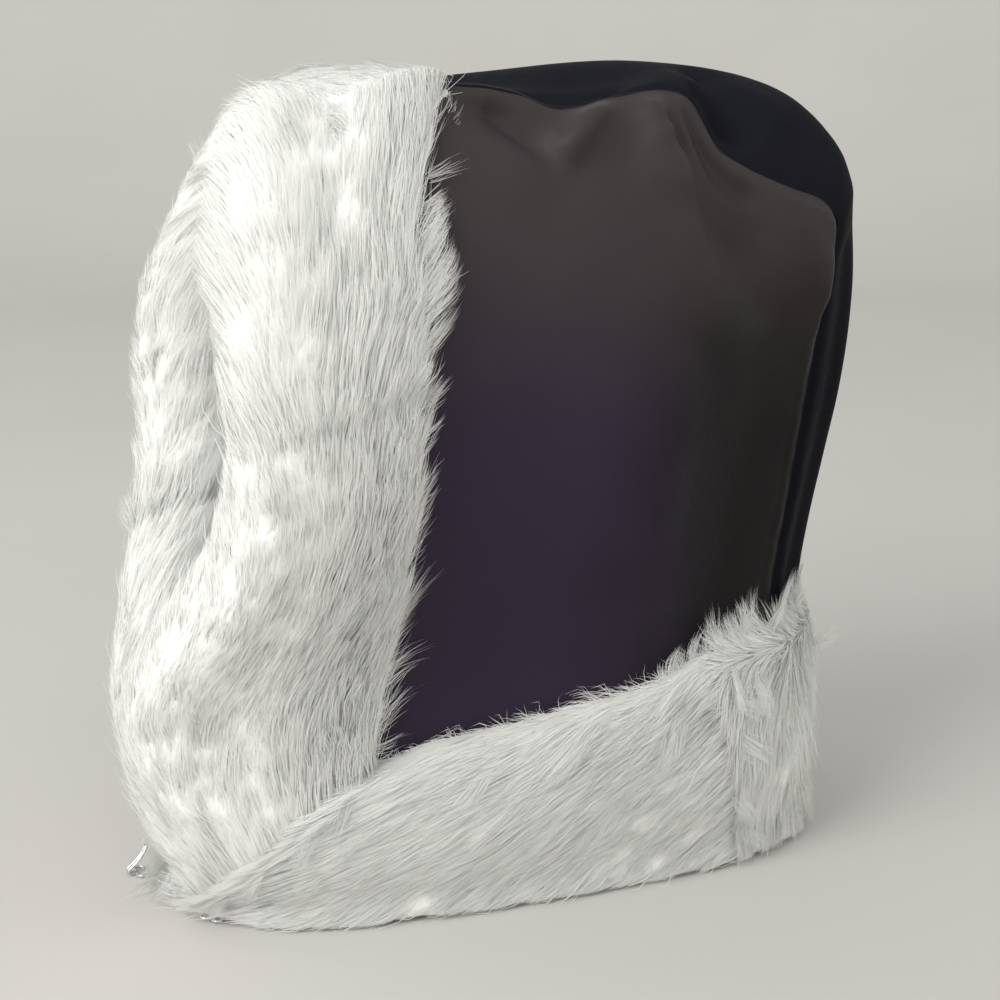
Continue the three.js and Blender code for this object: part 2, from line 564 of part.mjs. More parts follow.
// Closed body swept through the sections
function sweptBody(loops) {
  const around = loops[0].length;
  const last = loops.length - 1;
  const faces = [];
  for (let i = 0; i < last; i += 1) {
    for (let j = 0; j < around; j += 1) {
      const a = i * around + j;
      const b = i * around + ((j + 1) % around);
      faces.push(a, b, b + around, a, b + around, a + around);
    }
  }
  for (const end of [0, last]) {
    const flat = flatten(loops[end]);
    const clockwise = THREE.ShapeUtils.isClockWise(flat);
    for (const cap of THREE.ShapeUtils.triangulateShape(flat, [])) {
      const face = cap.map((j) => end * around + j);
      faces.push(...((end === 0) === clockwise ? face : face.reverse()));
    }
  }
  return solidFrom(loops.flat().flatMap((p) => [p.x, p.y, p.z]), faces);
}

// A place on the outer face of the swept strip: r counts the sections, w runs across
function onStrip(loops, r, w) {
  const column = (row) => {
    const points = loops[row].slice(0, PILE_PROFILE.length).reverse();
    const last = PILE_PROFILE.length - 1;
    let i = 0;
    while (i < last - 1 && PILE_PROFILE[i + 1].w < w) i += 1;
    const share = (w - PILE_PROFILE[i].w) / (PILE_PROFILE[i + 1].w - PILE_PROFILE[i].w);
    return points[i].clone().lerp(points[i + 1], share);
  };
  const row = Math.min(Math.floor(r), loops.length - 2);
  return column(row).lerp(column(row + 1), r - row);
}

// A lock of fur: a curved spike, its root sunk in the strip
function lockOf(root, along, out, length, width) {
  const side = along.clone().cross(out).normalize();
  const points = LOCK_RINGS.flatMap(({ ahead, rise, half }) => (
    Array.from({ length: LOCK_SIDES }, (_, i) => {
      const angle = (i / LOCK_SIDES) * 2 * Math.PI;
      return root.clone().addScaledVector(along, ahead * length)
        .addScaledVector(side, Math.cos(angle) * half * width)
        .addScaledVector(out, rise * length + Math.sin(angle) * half * width * LOCK_FLATNESS);
    })
  ));
  const tip = points.length;
  points.push(
    root.clone().addScaledVector(along, length).addScaledVector(out, LOCK_TIP_RISE * length),
  );
  for (const p of points) p.z = Math.max(p.z, 0);
  const faces = [];
  for (let i = 0; i < LOCK_SIDES; i += 1) {
    const next = (i + 1) % LOCK_SIDES;
    if (i > 0) faces.push(0, next, i);
    faces.push(i, next, LOCK_SIDES + next, i, LOCK_SIDES + next, LOCK_SIDES + i);
    faces.push(LOCK_SIDES + i, LOCK_SIDES + next, tip);
  }
  return solidFrom(points.flatMap((p) => [p.x, p.y, p.z]), faces);
}

// A tuft at the throat, made wider all round by grow
function tuftOf({ x, y, z, tipX, tipY, tipZ, width }, grow) {
  const root = new THREE.Vector3(x, y, z);
  const along = new THREE.Vector3(tipX, tipY, tipZ).sub(root);
  const length = along.length();
  along.normalize();
  const side = along.clone().cross(new THREE.Vector3(0, 0, 1));
  const out = side.cross(along).normalize();
  return lockOf(root, along, out, length, width + (2 * grow) / LOCK_FLATNESS);
}

// Locks scattered over a stretch of a strip. down and across say which way they lie: down the
// strip and towards the end of the fur.
function locksOn(loops, { from, to, count, w0, w1, down, across, length, width }) {
  return Array.from({ length: count }, (_, i) => {
    const r = mix(from, to, (i + 0.5) / count);
    const w = mix(w0, w1, (i * GOLDEN + from / 3) % 1);
    const root = onStrip(loops, r, w);
    const downStrip = onStrip(loops, r + 0.4, w).sub(onStrip(loops, r - 0.4, w)).normalize();
    const overStrip = onStrip(loops, r, Math.min(w + 0.1, 1)).sub(onStrip(loops, r, w - 0.1));
    overStrip.normalize();
    const out = downStrip.clone().cross(overStrip).normalize();
    if (out.dot(root.clone().sub(middleOf(loops[Math.round(r)]))) < 0) out.negate();
    const along = downStrip.multiplyScalar(down).addScaledVector(overStrip, across).normalize();
    return lockOf(root, along, out, length, width);
  });
}

// A round wire bent through a list of points
function wireThrough(points, radius) {
  const circle = new THREE.Shape().absarc(0, 0, radius, 0, 2 * Math.PI);
  const path = new THREE.CatmullRomCurve3(points, false, 'centripetal');
  const geometry = new THREE.ExtrudeGeometry(circle, {
    steps: WIRE_STEPS, curveSegments: WIRE_SIDES, bevelEnabled: false, extrudePath: path,
  });
  geometry.deleteAttribute('normal');
  geometry.deleteAttribute('uv');
  const merged = mergeVertices(geometry, 1e-4);
  return solidFrom(Array.from(merged.attributes.position.array), Array.from(merged.index.array));
}

// Half of a wire piece is listed, the other half is its mirror image. a points along X, f
// forwards and z up, from the place where the piece is sewn on.
function sewnWire(place, half, radius) {
  const at = (sign) => ({ a, f, z }) => new THREE.Vector3(place.x + sign * a, place.y - f, place.z + z);
  const points = [...[...half].reverse().map(at(-1)), ...half.map(at(1))];
  return wireThrough(points, radius);
}

const group = new THREE.Group();
group.position.y = CENTRE_OFFSET_Y;

function addPiece(name, solid, material) {
  const { vertProperties, triVerts } = solid.getMesh();
  const geometry = new THREE.BufferGeometry();
  geometry.setAttribute('position', new THREE.BufferAttribute(new Float32Array(vertProperties), 3));
  geometry.setIndex(new THREE.BufferAttribute(new Uint32Array(triVerts), 1));
  geometry.computeVertexNormals();
  const mesh = new THREE.Mesh(geometry, material);
  mesh.name = name;
  group.add(mesh);
}

const cloth = new THREE.MeshStandardMaterial({ color: 0x2f2a33, roughness: 0.55, metalness: 0 });
const fur = new THREE.MeshStandardMaterial({ color: 0xeceae6, roughness: 0.95, metalness: 0 });
const wire = new THREE.MeshStandardMaterial({ color: 0xc9ccd0, roughness: 0.25, metalness: 1 });

addPiece('side_panel_left', panelWall(1, 0, GAP / 2), cloth);
addPiece('side_panel_right', panelWall(-1, 0, GAP / 2), cloth);
addPiece('centre_gusset', gussetWall(0, GAP / 2), cloth);
addPiece('hook', sewnWire(HOOK_PLACE, HOOK_HALF, WIRE / 2), wire);
addPiece('eye', sewnWire(EYE_PLACE, EYE_HALF, WIRE / 2), wire);

// What the fur leaves room for: the cloth and the two wires, all a little larger than they are
const keptClear = [
  panelWall(1, GAP, -GAP), panelWall(-1, GAP, -GAP), gussetWall(GAP, -GAP),
  sewnWire(HOOK_PLACE, HOOK_HALF, WIRE / 2 + GAP), sewnWire(EYE_PLACE, EYE_HALF, WIRE / 2 + GAP),
].reduce((all, solid) => all.add(solid));

const FUR_PIECES = [
  { name: 'face_fur_arch', rows: archRows(), locks: ARCH_LOCKS },
  {
    name: 'face_fur_left', rows: lowerFaceRows(1, NEAR_FACE_JOIN, 12), locks: FACE_LOCKS_LEFT,
    over: THROAT_TUFTS_LEFT,
  },
  {
    name: 'face_fur_right', rows: lowerFaceRows(-1, FAR_FACE_JOIN, 9), locks: FACE_LOCKS_RIGHT,
    over: THROAT_TUFTS_RIGHT,
  },
  { name: 'neck_fur_left', rows: neckRows(1, 12), locks: NECK_LOCKS, tufts: THROAT_TUFTS_LEFT },
  { name: 'neck_fur_back', rows: napeRows(), locks: NAPE_LOCKS },
  { name: 'neck_fur_right', rows: neckRows(-1, 12), locks: NECK_LOCKS, tufts: THROAT_TUFTS_RIGHT },
];
for (const { name, rows, locks, tufts = [], over = [] } of FUR_PIECES) {
  const loops = rows.map(furSection);
  const spikes = [
    ...locks.flatMap((stretch) => locksOn(loops, stretch)), ...tufts.map((tuft) => tuftOf(tuft, 0)),
  ];
  drawIn(loops, 0, 1);
  drawIn(loops, loops.length - 1, loops.length - 2);
  const body = spikes.reduce((all, spike) => all.add(spike), sweptBody(loops));
  const room = over.reduce((all, tuft) => all.add(tuftOf(tuft, GAP)), keptClear);
  addPiece(name, body.subtract(room), fur);
}

export default group;
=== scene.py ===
import math

import bpy
import numpy as np
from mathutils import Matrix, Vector
from mathutils.kdtree import KDTree


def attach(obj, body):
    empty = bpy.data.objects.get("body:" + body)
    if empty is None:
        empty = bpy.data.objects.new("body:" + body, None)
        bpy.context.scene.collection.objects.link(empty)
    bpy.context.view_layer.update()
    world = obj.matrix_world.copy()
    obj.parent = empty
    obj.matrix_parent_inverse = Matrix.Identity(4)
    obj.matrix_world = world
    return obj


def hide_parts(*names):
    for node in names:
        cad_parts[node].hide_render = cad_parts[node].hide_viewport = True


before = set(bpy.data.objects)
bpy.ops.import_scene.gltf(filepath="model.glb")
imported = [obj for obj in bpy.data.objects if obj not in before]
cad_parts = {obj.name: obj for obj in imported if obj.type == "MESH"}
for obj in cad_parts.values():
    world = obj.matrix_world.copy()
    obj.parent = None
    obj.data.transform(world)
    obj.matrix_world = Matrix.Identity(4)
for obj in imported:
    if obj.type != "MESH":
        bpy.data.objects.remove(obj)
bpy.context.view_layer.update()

# Sizes, in millimetres. The face looks along -Y, the wearer's left is +X, up is +Z.
CENTRE_OFFSET_Y = 7.0
CLOTH = 2.0
PANEL_DEPTH, PANEL_HEIGHT = 260.0, 330.0
PANEL_BULGE = 6.0
CROWN_SHARPNESS = 2.3
SEAM_FADE = 7.0
GUSSET_LENGTH, GUSSET_HALF = 310.0, 70.0
PILE, PILE_INSIDE, NOSE = 16.0, 10.0, 13.0
FACE_TURN_IN, NECK_TURN_IN = 0.85, 0.2
MITRE_LIMIT = 1.6
EDGE_REACH = 0.12
ACROSS = 9
NEAR_FACE_JOIN, FAR_FACE_JOIN, REAR_NECK_JOIN = 0.65, 0.45, 0.88
LAST_BEFORE_BROW, LAST_BEFORE_NAPE = 0.94, 0.96
MITRE_U, MITRE_V = 0.32, 0.177

# Seams and edges of the wearer's left side, as x, y, z
TOP_SEAM = [
    (50, -112, 331), (52, -85, 345), (53, -53, 351.5), (54, -28, 349), (55, -5, 341), (54, 18, 345),
    (53, 44, 348), (54, 56, 344), (58, 69, 323), (60, 83, 314), (61, 105, 305), (62, 121, 299),
    (62, 130, 290),
]
BACK_SEAM = [
    (62, 130, 290), (61, 126, 267), (60, 121, 237), (59, 115, 200), (58, 109, 162), (57, 103, 125),
    (56, 101, 90), (53, 104, 50), (50, 108, 12),
]
FACE_EDGE = [
    (50, -112, 331), (66, -121, 309), (77, -130, 280), (82, -136, 250), (82, -138, 215), (78, -140, 182),
    (68, -148, 152), (52, -160, 126), (38, -169, 102), (29, -171, 72), (26, -163, 40), (25, -150, 12),
]
NECK_EDGE = [
    (25, -150, 12), (38, -136, 12), (50, -116, 12), (57, -84, 12), (62, -42, 12), (64, 0, 12), (64, 40, 12),
    (61, 80, 12), (50, 108, 12),
]
CROWN_TOP = [
    (0, -106, 338), (0, -80, 347), (0, -42, 351.5), (0, -7, 354.5), (0, 22, 357), (0, 45, 358),
    (0, 62, 357.5), (0, 92, 354.5), (0, 112, 350), (0, 131, 342), (0, 143, 333), (0, 152, 322), (0, 159, 307),
]
CROWN_BACK = [
    (0, 159, 307), (0, 165, 287), (0, 168, 264), (0, 167, 235), (0, 163, 208), (0, 156, 180), (0, 149, 152),
    (0, 143, 122), (0, 138, 92), (0, 132, 52), (0, 128, 12),
]

# Folds of a side panel: u0, v0, u1, v1, half width and height in millimetres
PANEL_FOLDS = [
    (0.28, 0.97, 0.42, 0.92, 13, -5),  # dent under the top seam
    (0.42, 0.93, 0.47, 0.96, 11, 4),  # lip behind it
    (0.58, 0.96, 0.61, 0.91, 12, 4),  # pinch at the rear
    (0.64, 0.93, 0.82, 0.92, 15, -5),  # dent along the rear crease
    (0.93, 0.9, 0.63, 0.6, 34, 6),  # ridge from the rear corner
    (0.63, 0.6, 0.67, 0.25, 34, 5),  # ridge down the side
    (0.88, 0.7, 0.86, 0.35, 30, -4),  # hollow before the back seam
    (0.42, 0.6, 0.4, 0.3, 40, -3),  # hollow behind the face
    (0.31, 0.972, 0.41, 0.935, 6, -5),  # crease in the first dent
    (0.475, 0.987, 0.43, 0.945, 6, 6),  # sharp ridge beside it
    (0.43, 0.945, 0.36, 0.9, 12, 2.5),  # its soft end
    (0.58, 0.968, 0.6, 0.945, 5, 4.5),  # fold at the pinch
    (0.612, 0.957, 0.645, 0.94, 4.5, -4),  # crease behind it
    (0.6, 0.93, 0.64, 0.9, 9, 5),  # end of the fold
    (0.66, 0.985, 0.8, 0.96, 6, -4),  # line under the rear seam
    (0.62, 0.89, 0.74, 0.78, 16, 3),  # slope to the ridge
    (0.9, 0.935, 0.95, 0.88, 15, 4),  # puff of the rear corner
    (0.8, 0.9, 0.84, 0.82, 12, -3),  # hollow before it
]
# Folds of the gusset: k0, x0, k1, x1, half width and height
GUSSET_FOLDS = [
    (0.25, 0.55, 0.5, 0.6, 20, -5),  # sag over the brow
    (0.66, 0.45, 0.74, 0.85, 11, -6),  # valley at the rear corner
    (0.82, 0.55, 0.94, 0.6, 24, 3),  # puff of the rear corner
    (1.1, 0.7, 1.6, 0.72, 12, -4),  # flute beside the back seam
    (0.655, 0.86, 0.78, 0.84, 4.5, -4),  # notch that goes on from the pinch
    (0.72, 0.6, 0.8, 0.72, 9, 3.5),  # swell above it
    (0.32, 0.9, 0.5, 0.88, 8, -4),  # line beside the front seam
]

# Where the fur ends on the side panel: for the face as v and u, for the neck as u and v
FACE_FUR_EDGE = [
    (0, 0.32), (0.18, 0.32), (0.25, 0.325), (0.32, 0.31), (0.4, 0.285), (0.5, 0.25), (0.6, 0.245),
    (0.7, 0.262), (0.77, 0.275), (0.83, 0.235), (0.9, 0.212), (1, 0.235),
]
NECK_FUR_EDGE = [
    (0, 0.16), (0.32, 0.177), (0.42, 0.205), (0.55, 0.215), (0.7, 0.25), (0.85, 0.305), (1, 0.335),
]
# How high the fur stands: by v on the face, then across a strip, as shares of its width and its pile,
# and round the hood's edge, as shares of the way ahead and of the pile
FACE_PILE = [(0, 1), (0.72, 1), (0.88, 0.75), (1, 0.5)]
PILE_PROFILE = [
    (1.08, 0.12), (1, 0.22), (0.92, 0.66), (0.78, 0.96), (0.6, 1.12), (0.4, 1.2), (0.2, 1.14), (0.04, 0.94),
]
FACE_NOSE = [(0.66, 0.62), (1, 0.12), (0.8, -0.4)]
FOOT_NOSE = [(1, 1.05), (1, 0.3), (1, -0.7)]
INNER_PROFILE = [(0.05, -1), (0.5, -1.2), (0.95, -0.7), (1, -0.15)]  # as shares of the fur turned in
LEAST_PILE = 2.0
BACKING, BACKING_INSIDE = 1.1, -1.2  # the hide, off the middle of the cloth
OFF_FLOOR, BACKING_OFF_FLOOR, HAIR_OFF_FLOOR, COAT_OFF_FLOOR = 0.4, 2.5, 0.35, 0.5

MM = 0.001
STEPS_OF_LINE = 24


# the cloth surfaces
def between(a, b, ta, tb, t):
    return ((tb - t) * a + (t - ta) * b) / (tb - ta)


class Line:
    """A smooth line through a table's rows, read by its share of the length."""

    def __init__(self, rows):
        p = np.array(rows, float)
        p = np.vstack([2 * p[0] - p[1], p, 2 * p[-1] - p[-2]])
        points = []
        for i in range(1, len(p) - 2):
            a, b, c, d = near = p[i - 1:i + 3]
            steps = [np.linalg.norm(step) ** 0.5 for step in np.diff(near, axis=0)]
            ta, tb, tc, td = np.cumsum([0, *steps])
            t = np.linspace(tb, tc, STEPS_OF_LINE, endpoint=i == len(p) - 3)[:, None]
            bc = between(b, c, tb, tc, t)
            abc = between(between(a, b, ta, tb, t), bc, ta, tc, t)
            bcd = between(bc, between(c, d, tc, td, t), tb, td, t)
            points.append(between(abc, bcd, tb, tc, t))
        self.points = np.vstack(points)
        steps = np.linalg.norm(np.diff(self.points, axis=0), axis=1)
        self.length = steps.sum()
        self.share = np.concatenate([[0], np.cumsum(steps)]) / self.length

    def at(self, share):
        return np.stack([np.interp(share, self.share, axis) for axis in self.points.T], -1)


top_seam, back_seam = Line(TOP_SEAM), Line(BACK_SEAM)
face_edge, neck_edge = Line(FACE_EDGE), Line(NECK_EDGE)
crown_top, crown_back = Line(CROWN_TOP), Line(CROWN_BACK)


def unit(a):
    return a / np.maximum(np.linalg.norm(a, axis=-1, keepdims=True), 1e-9)


def dot(a, b):
    return (a * b).sum(-1, keepdims=True)


def share_grid(rows, columns):
    return np.meshgrid(np.linspace(0, 1, rows), np.linspace(0, 1, columns), indexing="ij")


def keep_above(points, height):
    points[..., 2] = np.maximum(points[..., 2], height)


def look_up(table, at):
    return np.interp(at, *np.array(table, float).T)


def flat_panel(u, v):
    """The side panel without folds: u runs from the face to the back seam, v from the neck to the top."""
    a, b = u[..., None], v[..., None]
    p = neck_edge.at(u) * (1 - b) + top_seam.at(u) * b
    p = p + face_edge.at(1 - v) * (1 - a) + back_seam.at(1 - v) * a
    p = p - np.array(FACE_EDGE[-1]) * (1 - a) * (1 - b) - np.array(NECK_EDGE[-1]) * a * (1 - b)
    p = p - np.array(TOP_SEAM[0]) * (1 - a) * b - np.array(TOP_SEAM[-1]) * a * b
    p[..., 0] += PANEL_BULGE * np.sin(np.pi * u) * np.sin(np.pi * v)
    return p


def normal_of(surface, a, b, a_ends, b_ends, step=0.01):
    """Normals of a surface, from places a little to either side."""
    a0, a1 = np.clip(a - step, *a_ends), np.clip(a + step, *a_ends)
    b0, b1 = np.clip(b - step, *b_ends), np.clip(b + step, *b_ends)
    return unit(np.cross(surface(a1, b) - surface(a0, b), surface(a, b1) - surface(a, b0)))


def folded(table, a, b, length, width, to_seam):
    """How far the folds raise the cloth, each a ridge or hollow from one point to another."""
    x, y = a * length, b * width
    height = 0
    for a0, b0, a1, b1, reach, rise in table:
        x0, y0, x1, y1 = a0 * length, b0 * width, a1 * length, b1 * width
        length2 = (x1 - x0) ** 2 + (y1 - y0) ** 2
        along = np.clip(((x - x0) * (x1 - x0) + (y - y0) * (y1 - y0)) / length2, 0, 1)
        away2 = (x - x0 - along * (x1 - x0)) ** 2 + (y - y0 - along * (y1 - y0)) ** 2
        height = height + rise * np.exp(-away2 / reach ** 2)
    return height * np.clip(to_seam / SEAM_FADE, 0, 1)


def panel_point(u, v):
    to_seam = np.minimum((1 - u) * PANEL_DEPTH, (1 - v) * PANEL_HEIGHT)
    height = folded(PANEL_FOLDS, u, v, PANEL_DEPTH, PANEL_HEIGHT, to_seam)
    return flat_panel(u, v) + normal_of(flat_panel, u, v, (0, 1), (0, 1)) * height[..., None]


def panel_normal(u, v):
    return normal_of(panel_point, u, v, (0, 1), (0, 1))


def along_two(first, second, k):
    """Points on the first line for k up to 1, and on the second for k from 1 to 2."""
    return np.where((k <= 1)[..., None], first.at(np.minimum(k, 1)), second.at(np.maximum(k - 1, 0)))


def seam_at(k):
    return along_two(top_seam, back_seam, k)


def flat_gusset(k, x):
    """The gusset without folds: k runs to 1 over the head and to 2 down the back, x from side to side."""
    seam, crown = seam_at(k), along_two(crown_top, crown_back, k)
    rise = (1 - np.abs(x) ** CROWN_SHARPNESS)[..., None]
    p = seam * (1 - rise) + crown * rise
    p[..., 0] = x * seam[..., 0]
    return p


def gusset_point(k, x):
    side = np.abs(x)
    height = folded(GUSSET_FOLDS, k, side, GUSSET_LENGTH, GUSSET_HALF, (1 - side) * GUSSET_HALF)
    return flat_gusset(k, x) - normal_of(flat_gusset, k, x, (0, 2), (-1, 1)) * height[..., None]


def gusset_normal(k, x):
    return -normal_of(gusset_point, k, x, (0, 2), (-1, 1))


def seam_frame(k):
    """The seam's points, and the way out of the cloth that panel and gusset share there."""
    on_panel = panel_normal(np.minimum(k, 1), np.minimum(2 - k, 1))
    on_gusset = gusset_normal(k, np.ones_like(k))
    mitre = unit(on_panel + on_gusset)
    stretch = np.minimum(1 / dot(mitre, on_panel), MITRE_LIMIT)
    return seam_at(k), mitre * stretch


MIRROR = np.array([-1.0, 1.0, 1.0])


# meshes from arrays
SHARP_FROM = math.radians(55)


def in_scene(name, data):
    obj = bpy.data.objects.new(name, data)
    bpy.context.scene.collection.objects.link(obj)
    return obj


def aimed(name, data, spot, way):
    """A camera or light that looks the given way."""
    obj = in_scene(name, data)
    obj.location = spot
    obj.rotation_mode = "QUATERNION"
    obj.rotation_quaternion = way.to_track_quat("-Z", "Y")
    return obj


def new_object(name, points, faces, material_of_face=None):
    """A piece from points in millimetres and a list of arrays, each with the corners of its faces."""
    mesh = bpy.data.meshes.new(name)
    points = points + (0, CENTRE_OFFSET_Y, 0)
    counts = np.concatenate([np.full(len(f), f.shape[1]) for f in faces])
    loops = np.concatenate([f.reshape(-1) for f in faces])
    mesh.vertices.add(len(points))
    mesh.vertices.foreach_set("co", (points * MM).astype(np.float32).reshape(-1))
    mesh.loops.add(len(loops))
    mesh.loops.foreach_set("vertex_index", loops.astype(np.int32))
    mesh.polygons.add(len(counts))
    starts = np.concatenate([[0], np.cumsum(counts)[:-1]])
    mesh.polygons.foreach_set("loop_start", starts.astype(np.int32))
    mesh.polygons.foreach_set("use_smooth", np.ones(len(counts), bool))
    if material_of_face is not None:
        mesh.polygons.foreach_set("material_index", material_of_face.astype(np.int32))
    mesh.update(calc_edges=True)
    return in_scene(name, mesh)


def add_attribute(obj, name, values):
    attribute = obj.data.attributes.new(name, "FLOAT", "POINT")
    attribute.data.foreach_set("value", values.astype(np.float32))


def grid_faces(rows, columns, start=0, flip=False):
    i, j = np.meshgrid(np.arange(rows - 1), np.arange(columns - 1), indexing="ij")
    a = start + i * columns + j
    quads = np.stack([a, a + columns, a + columns + 1, a + 1], -1).reshape(-1, 4)
    return quads[:, ::-1] if flip else quads


def shell(name, outer, inner):
    """A closed wall from a grid of outer points and one of inner points."""
    rows, columns = outer.shape[:2]
    count = rows * columns
    index = np.arange(count).reshape(rows, columns)
    ring = np.concatenate([index[0], index[1:, -1], index[-1, -2::-1], index[-2:0:-1, 0]])
    after = np.roll(ring, -1)
    rim = np.stack([ring, after, after + count, ring + count], -1)
    quads = np.concatenate([grid_faces(rows, columns), grid_faces(rows, columns, count, True), rim])
    points = np.concatenate([outer.reshape(-1, 3), inner.reshape(-1, 3)])
    a, b, c, d = points[quads.T]
    volume = (np.cross(b - a, c - a) * a).sum() + (np.cross(c - a, d - a) * a).sum()
    obj = new_object(name, points, [quads if volume > 0 else quads[:, ::-1]])
    obj.data.set_sharp_from_angle(angle=SHARP_FROM)
    return obj


# node materials
REAR_SHADING, CROWN_LIGHT = (-0.01, 0.075), (0.2, 0.33)  # where the painted rear shading and the painted crown light take over, as y and z in metres
THROUGH_HAIR = 0.42  # share of the light that hair lets through


def material(name):
    m = bpy.data.materials.new(name)
    m.use_nodes = True
    tree = m.node_tree
    return m, tree, tree.nodes["Principled BSDF"]


def set_inputs(tree, n, inputs):
    """Links the inputs that are given as sockets, and sets the others."""
    for key, value in inputs.items():
        if isinstance(value, bpy.types.NodeSocket):
            tree.links.new(value, n.inputs[key])
        else:
            n.inputs[key].default_value = value


def node(tree, kind, inputs=None, **settings):
    n = tree.nodes.new("ShaderNode" + kind)
    for key, value in settings.items():
        setattr(n, key, value)
    set_inputs(tree, n, inputs or {})
    return n


def place(tree):
    return node(tree, "TexCoord").outputs["Object"]


def noise(tree, where, scale, detail, roughness=0.5):
    inputs = {"Vector": where, "Scale": scale, "Detail": detail, "Roughness": roughness}
    return node(tree, "TexNoise", inputs).outputs["Fac"]


def carried(tree, value, span, to, **settings):
    """A value carried from one span of numbers over to another."""
    inputs = {"Value": value, "From Min": span[0], "From Max": span[1], "To Min": to[0], "To Max": to[1]}
    return node(tree, "MapRange", inputs, **settings).outputs["Result"]


def worked_out(tree, operation, a, b):
    return node(tree, "Math", {0: a, 1: b}, operation=operation).outputs[0]


def blend(tree, factor, a, b):
    """Colour a where the factor is 0, b where it is 1."""
    return node(tree, "Mix", {0: factor, 6: a, 7: b}, data_type="RGBA").outputs[2]


def bump(tree, height, strength, distance, **more):
    inputs = {"Height": height, "Strength": strength, "Distance": distance, **more}
    return node(tree, "Bump", inputs).outputs["Normal"]


def ramp(tree, factor, stops):
    n = node(tree, "ValToRGB", {"Fac": factor})
    elements = n.color_ramp.elements
    while len(elements) < len(stops):
        elements.new(0.5)
    for element, (position, colour) in zip(elements, stops):
        element.position = position
        element.color = (*colour, 1)
    return n.outputs["Color"]


def cloth_material(name, front, rear, crown, sheen, gloss):
    """Dense knit in the front tone, with painted shading towards the rear and painted light near the crown.
    """
    m, tree, bsdf = material(name)
    where = place(tree)
    axes = node(tree, "SeparateXYZ", {"Vector": where}).outputs
    drift = carried(tree, noise(tree, where, 9.0, 3.0), (0, 1), (-0.05, 0.05))
    # how far the painted shading of the rear and the painted light of the crown take over
    to_rear_shading, to_crown_light = (
        carried(tree, worked_out(tree, "ADD", axes[axis], drift), ends, (0, 1),
                interpolation_type="SMOOTHSTEP")
        for axis, ends in (("Y", REAR_SHADING), ("Z", CROWN_LIGHT))
    )
    lower = blend(tree, to_rear_shading, (*front, 1), (*rear, 1))
    stitch = node(tree, "TexVoronoi", {"Vector": where, "Scale": 1500.0}).outputs["Distance"]
    grain = noise(tree, where, 420.0, 4.0, 0.7)
    knit = worked_out(tree, "ADD", worked_out(tree, "MULTIPLY", stitch, 0.5), grain)
    fine = bump(tree, knit, 0.2, 0.00025)
    set_inputs(tree, bsdf, {
        "Base Color": blend(tree, to_crown_light, lower, (*crown, 1)),
        "Normal": bump(tree, noise(tree, where, 45.0, 3.0, 0.6), 0.3, 0.001, Normal=fine),
        "Roughness": carried(tree, grain, (0.3, 0.7), (0.44, 0.58)),
        "Specular IOR Level": gloss,
        "Sheen Weight": sheen,
        "Sheen Roughness": 0.4,
        "Sheen Tint": (0.62, 0.6, 0.8, 1),
    })
    return m


def fur_material(name, root, middle, tip):
    """Hair, darker towards the root by painted shade, with light that comes through."""
    m, tree, bsdf = material(name)
    along, tone = (node(tree, "Attribute", attribute_name=a).outputs["Fac"] for a in ("along", "tone"))
    # painted shade: the hair darkens towards the root, where the fur above shades it
    colour = ramp(tree, along, [(0.0, root), (0.45, middle), (1.0, tip)])
    shade = carried(tree, tone, (0, 1), (0.9, 1.03))
    tinted = node(tree, "VectorMath", {0: colour, 1: shade}, operation="MULTIPLY").outputs["Vector"]
    set_inputs(tree, bsdf, {"Base Color": tinted, "Roughness": 0.6, "Specular IOR Level": 0.25})
    through = node(tree, "BsdfTranslucent", {"Color": tinted}).outputs["BSDF"]
    both = node(tree, "MixShader", {0: THROUGH_HAIR, 1: bsdf.outputs["BSDF"], 2: through})
    set_inputs(tree, tree.nodes["Material Output"], {"Surface": both.outputs["Shader"]})
    return m


def coat_material(name, low, high):
    m, tree, bsdf = material(name)
    where = place(tree)
    stretched = node(tree, "Mapping", {"Vector": where, "Scale": (1.0, 1.0, 0.25)}).outputs["Vector"]
    set_inputs(tree, bsdf, {
        "Base Color": ramp(tree, noise(tree, where, 120.0, 3.0), [(0.35, low), (0.7, high)]),
        "Normal": bump(tree, noise(tree, stretched, 900.0, 4.0, 0.7), 0.6, 0.0008),
        "Roughness": 0.85,
        "Specular IOR Level": 0.15,
    })
    return m


def wire_material(name, dull, bright):
    """Plated wire, worn in spots."""
    m, tree, bsdf = material(name)
    wear = noise(tree, place(tree), 500.0, 4.0, 0.65)
    set_inputs(tree, bsdf, {
        "Base Color": ramp(tree, wear, [(0.35, dull), (0.62, bright)]),
        "Roughness": carried(tree, wear, (0, 1), (0.16, 0.38)),
        "Metallic": 1.0,
    })
    return m


# painted shading: the rear tone is painted shade where the panel turns from the light, the crown tone is
# painted light on its top
panel_cloth = cloth_material(
    "panel_cloth", front=(0.025, 0.0175, 0.035), rear=(0.005, 0.0035, 0.0035), crown=(0.041, 0.034, 0.035),
    sheen=0.05, gloss=0.13,
)
# painted shading: the rear tone is painted light on the rear corner, the crown tone is painted light on the
# top
gusset_cloth = cloth_material(
    "gusset_cloth", front=(0.004, 0.004, 0.006), rear=(0.006, 0.006, 0.009), crown=(0.011, 0.0115, 0.016),
    sheen=0.0, gloss=0.008,
)
# the first colour is painted shade at the root
white_hair = fur_material("white_hair", (0.86, 0.86, 0.845), (0.94, 0.945, 0.93), (0.98, 0.98, 0.97))
white_coat = coat_material("white_coat", (0.87, 0.87, 0.855), (0.93, 0.93, 0.915))
plated_wire = wire_material("plated_wire", (0.52, 0.53, 0.54), (0.8, 0.81, 0.82))


def finish_piece(obj, slot, *nodes):
    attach(obj, "root")
    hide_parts(*nodes)


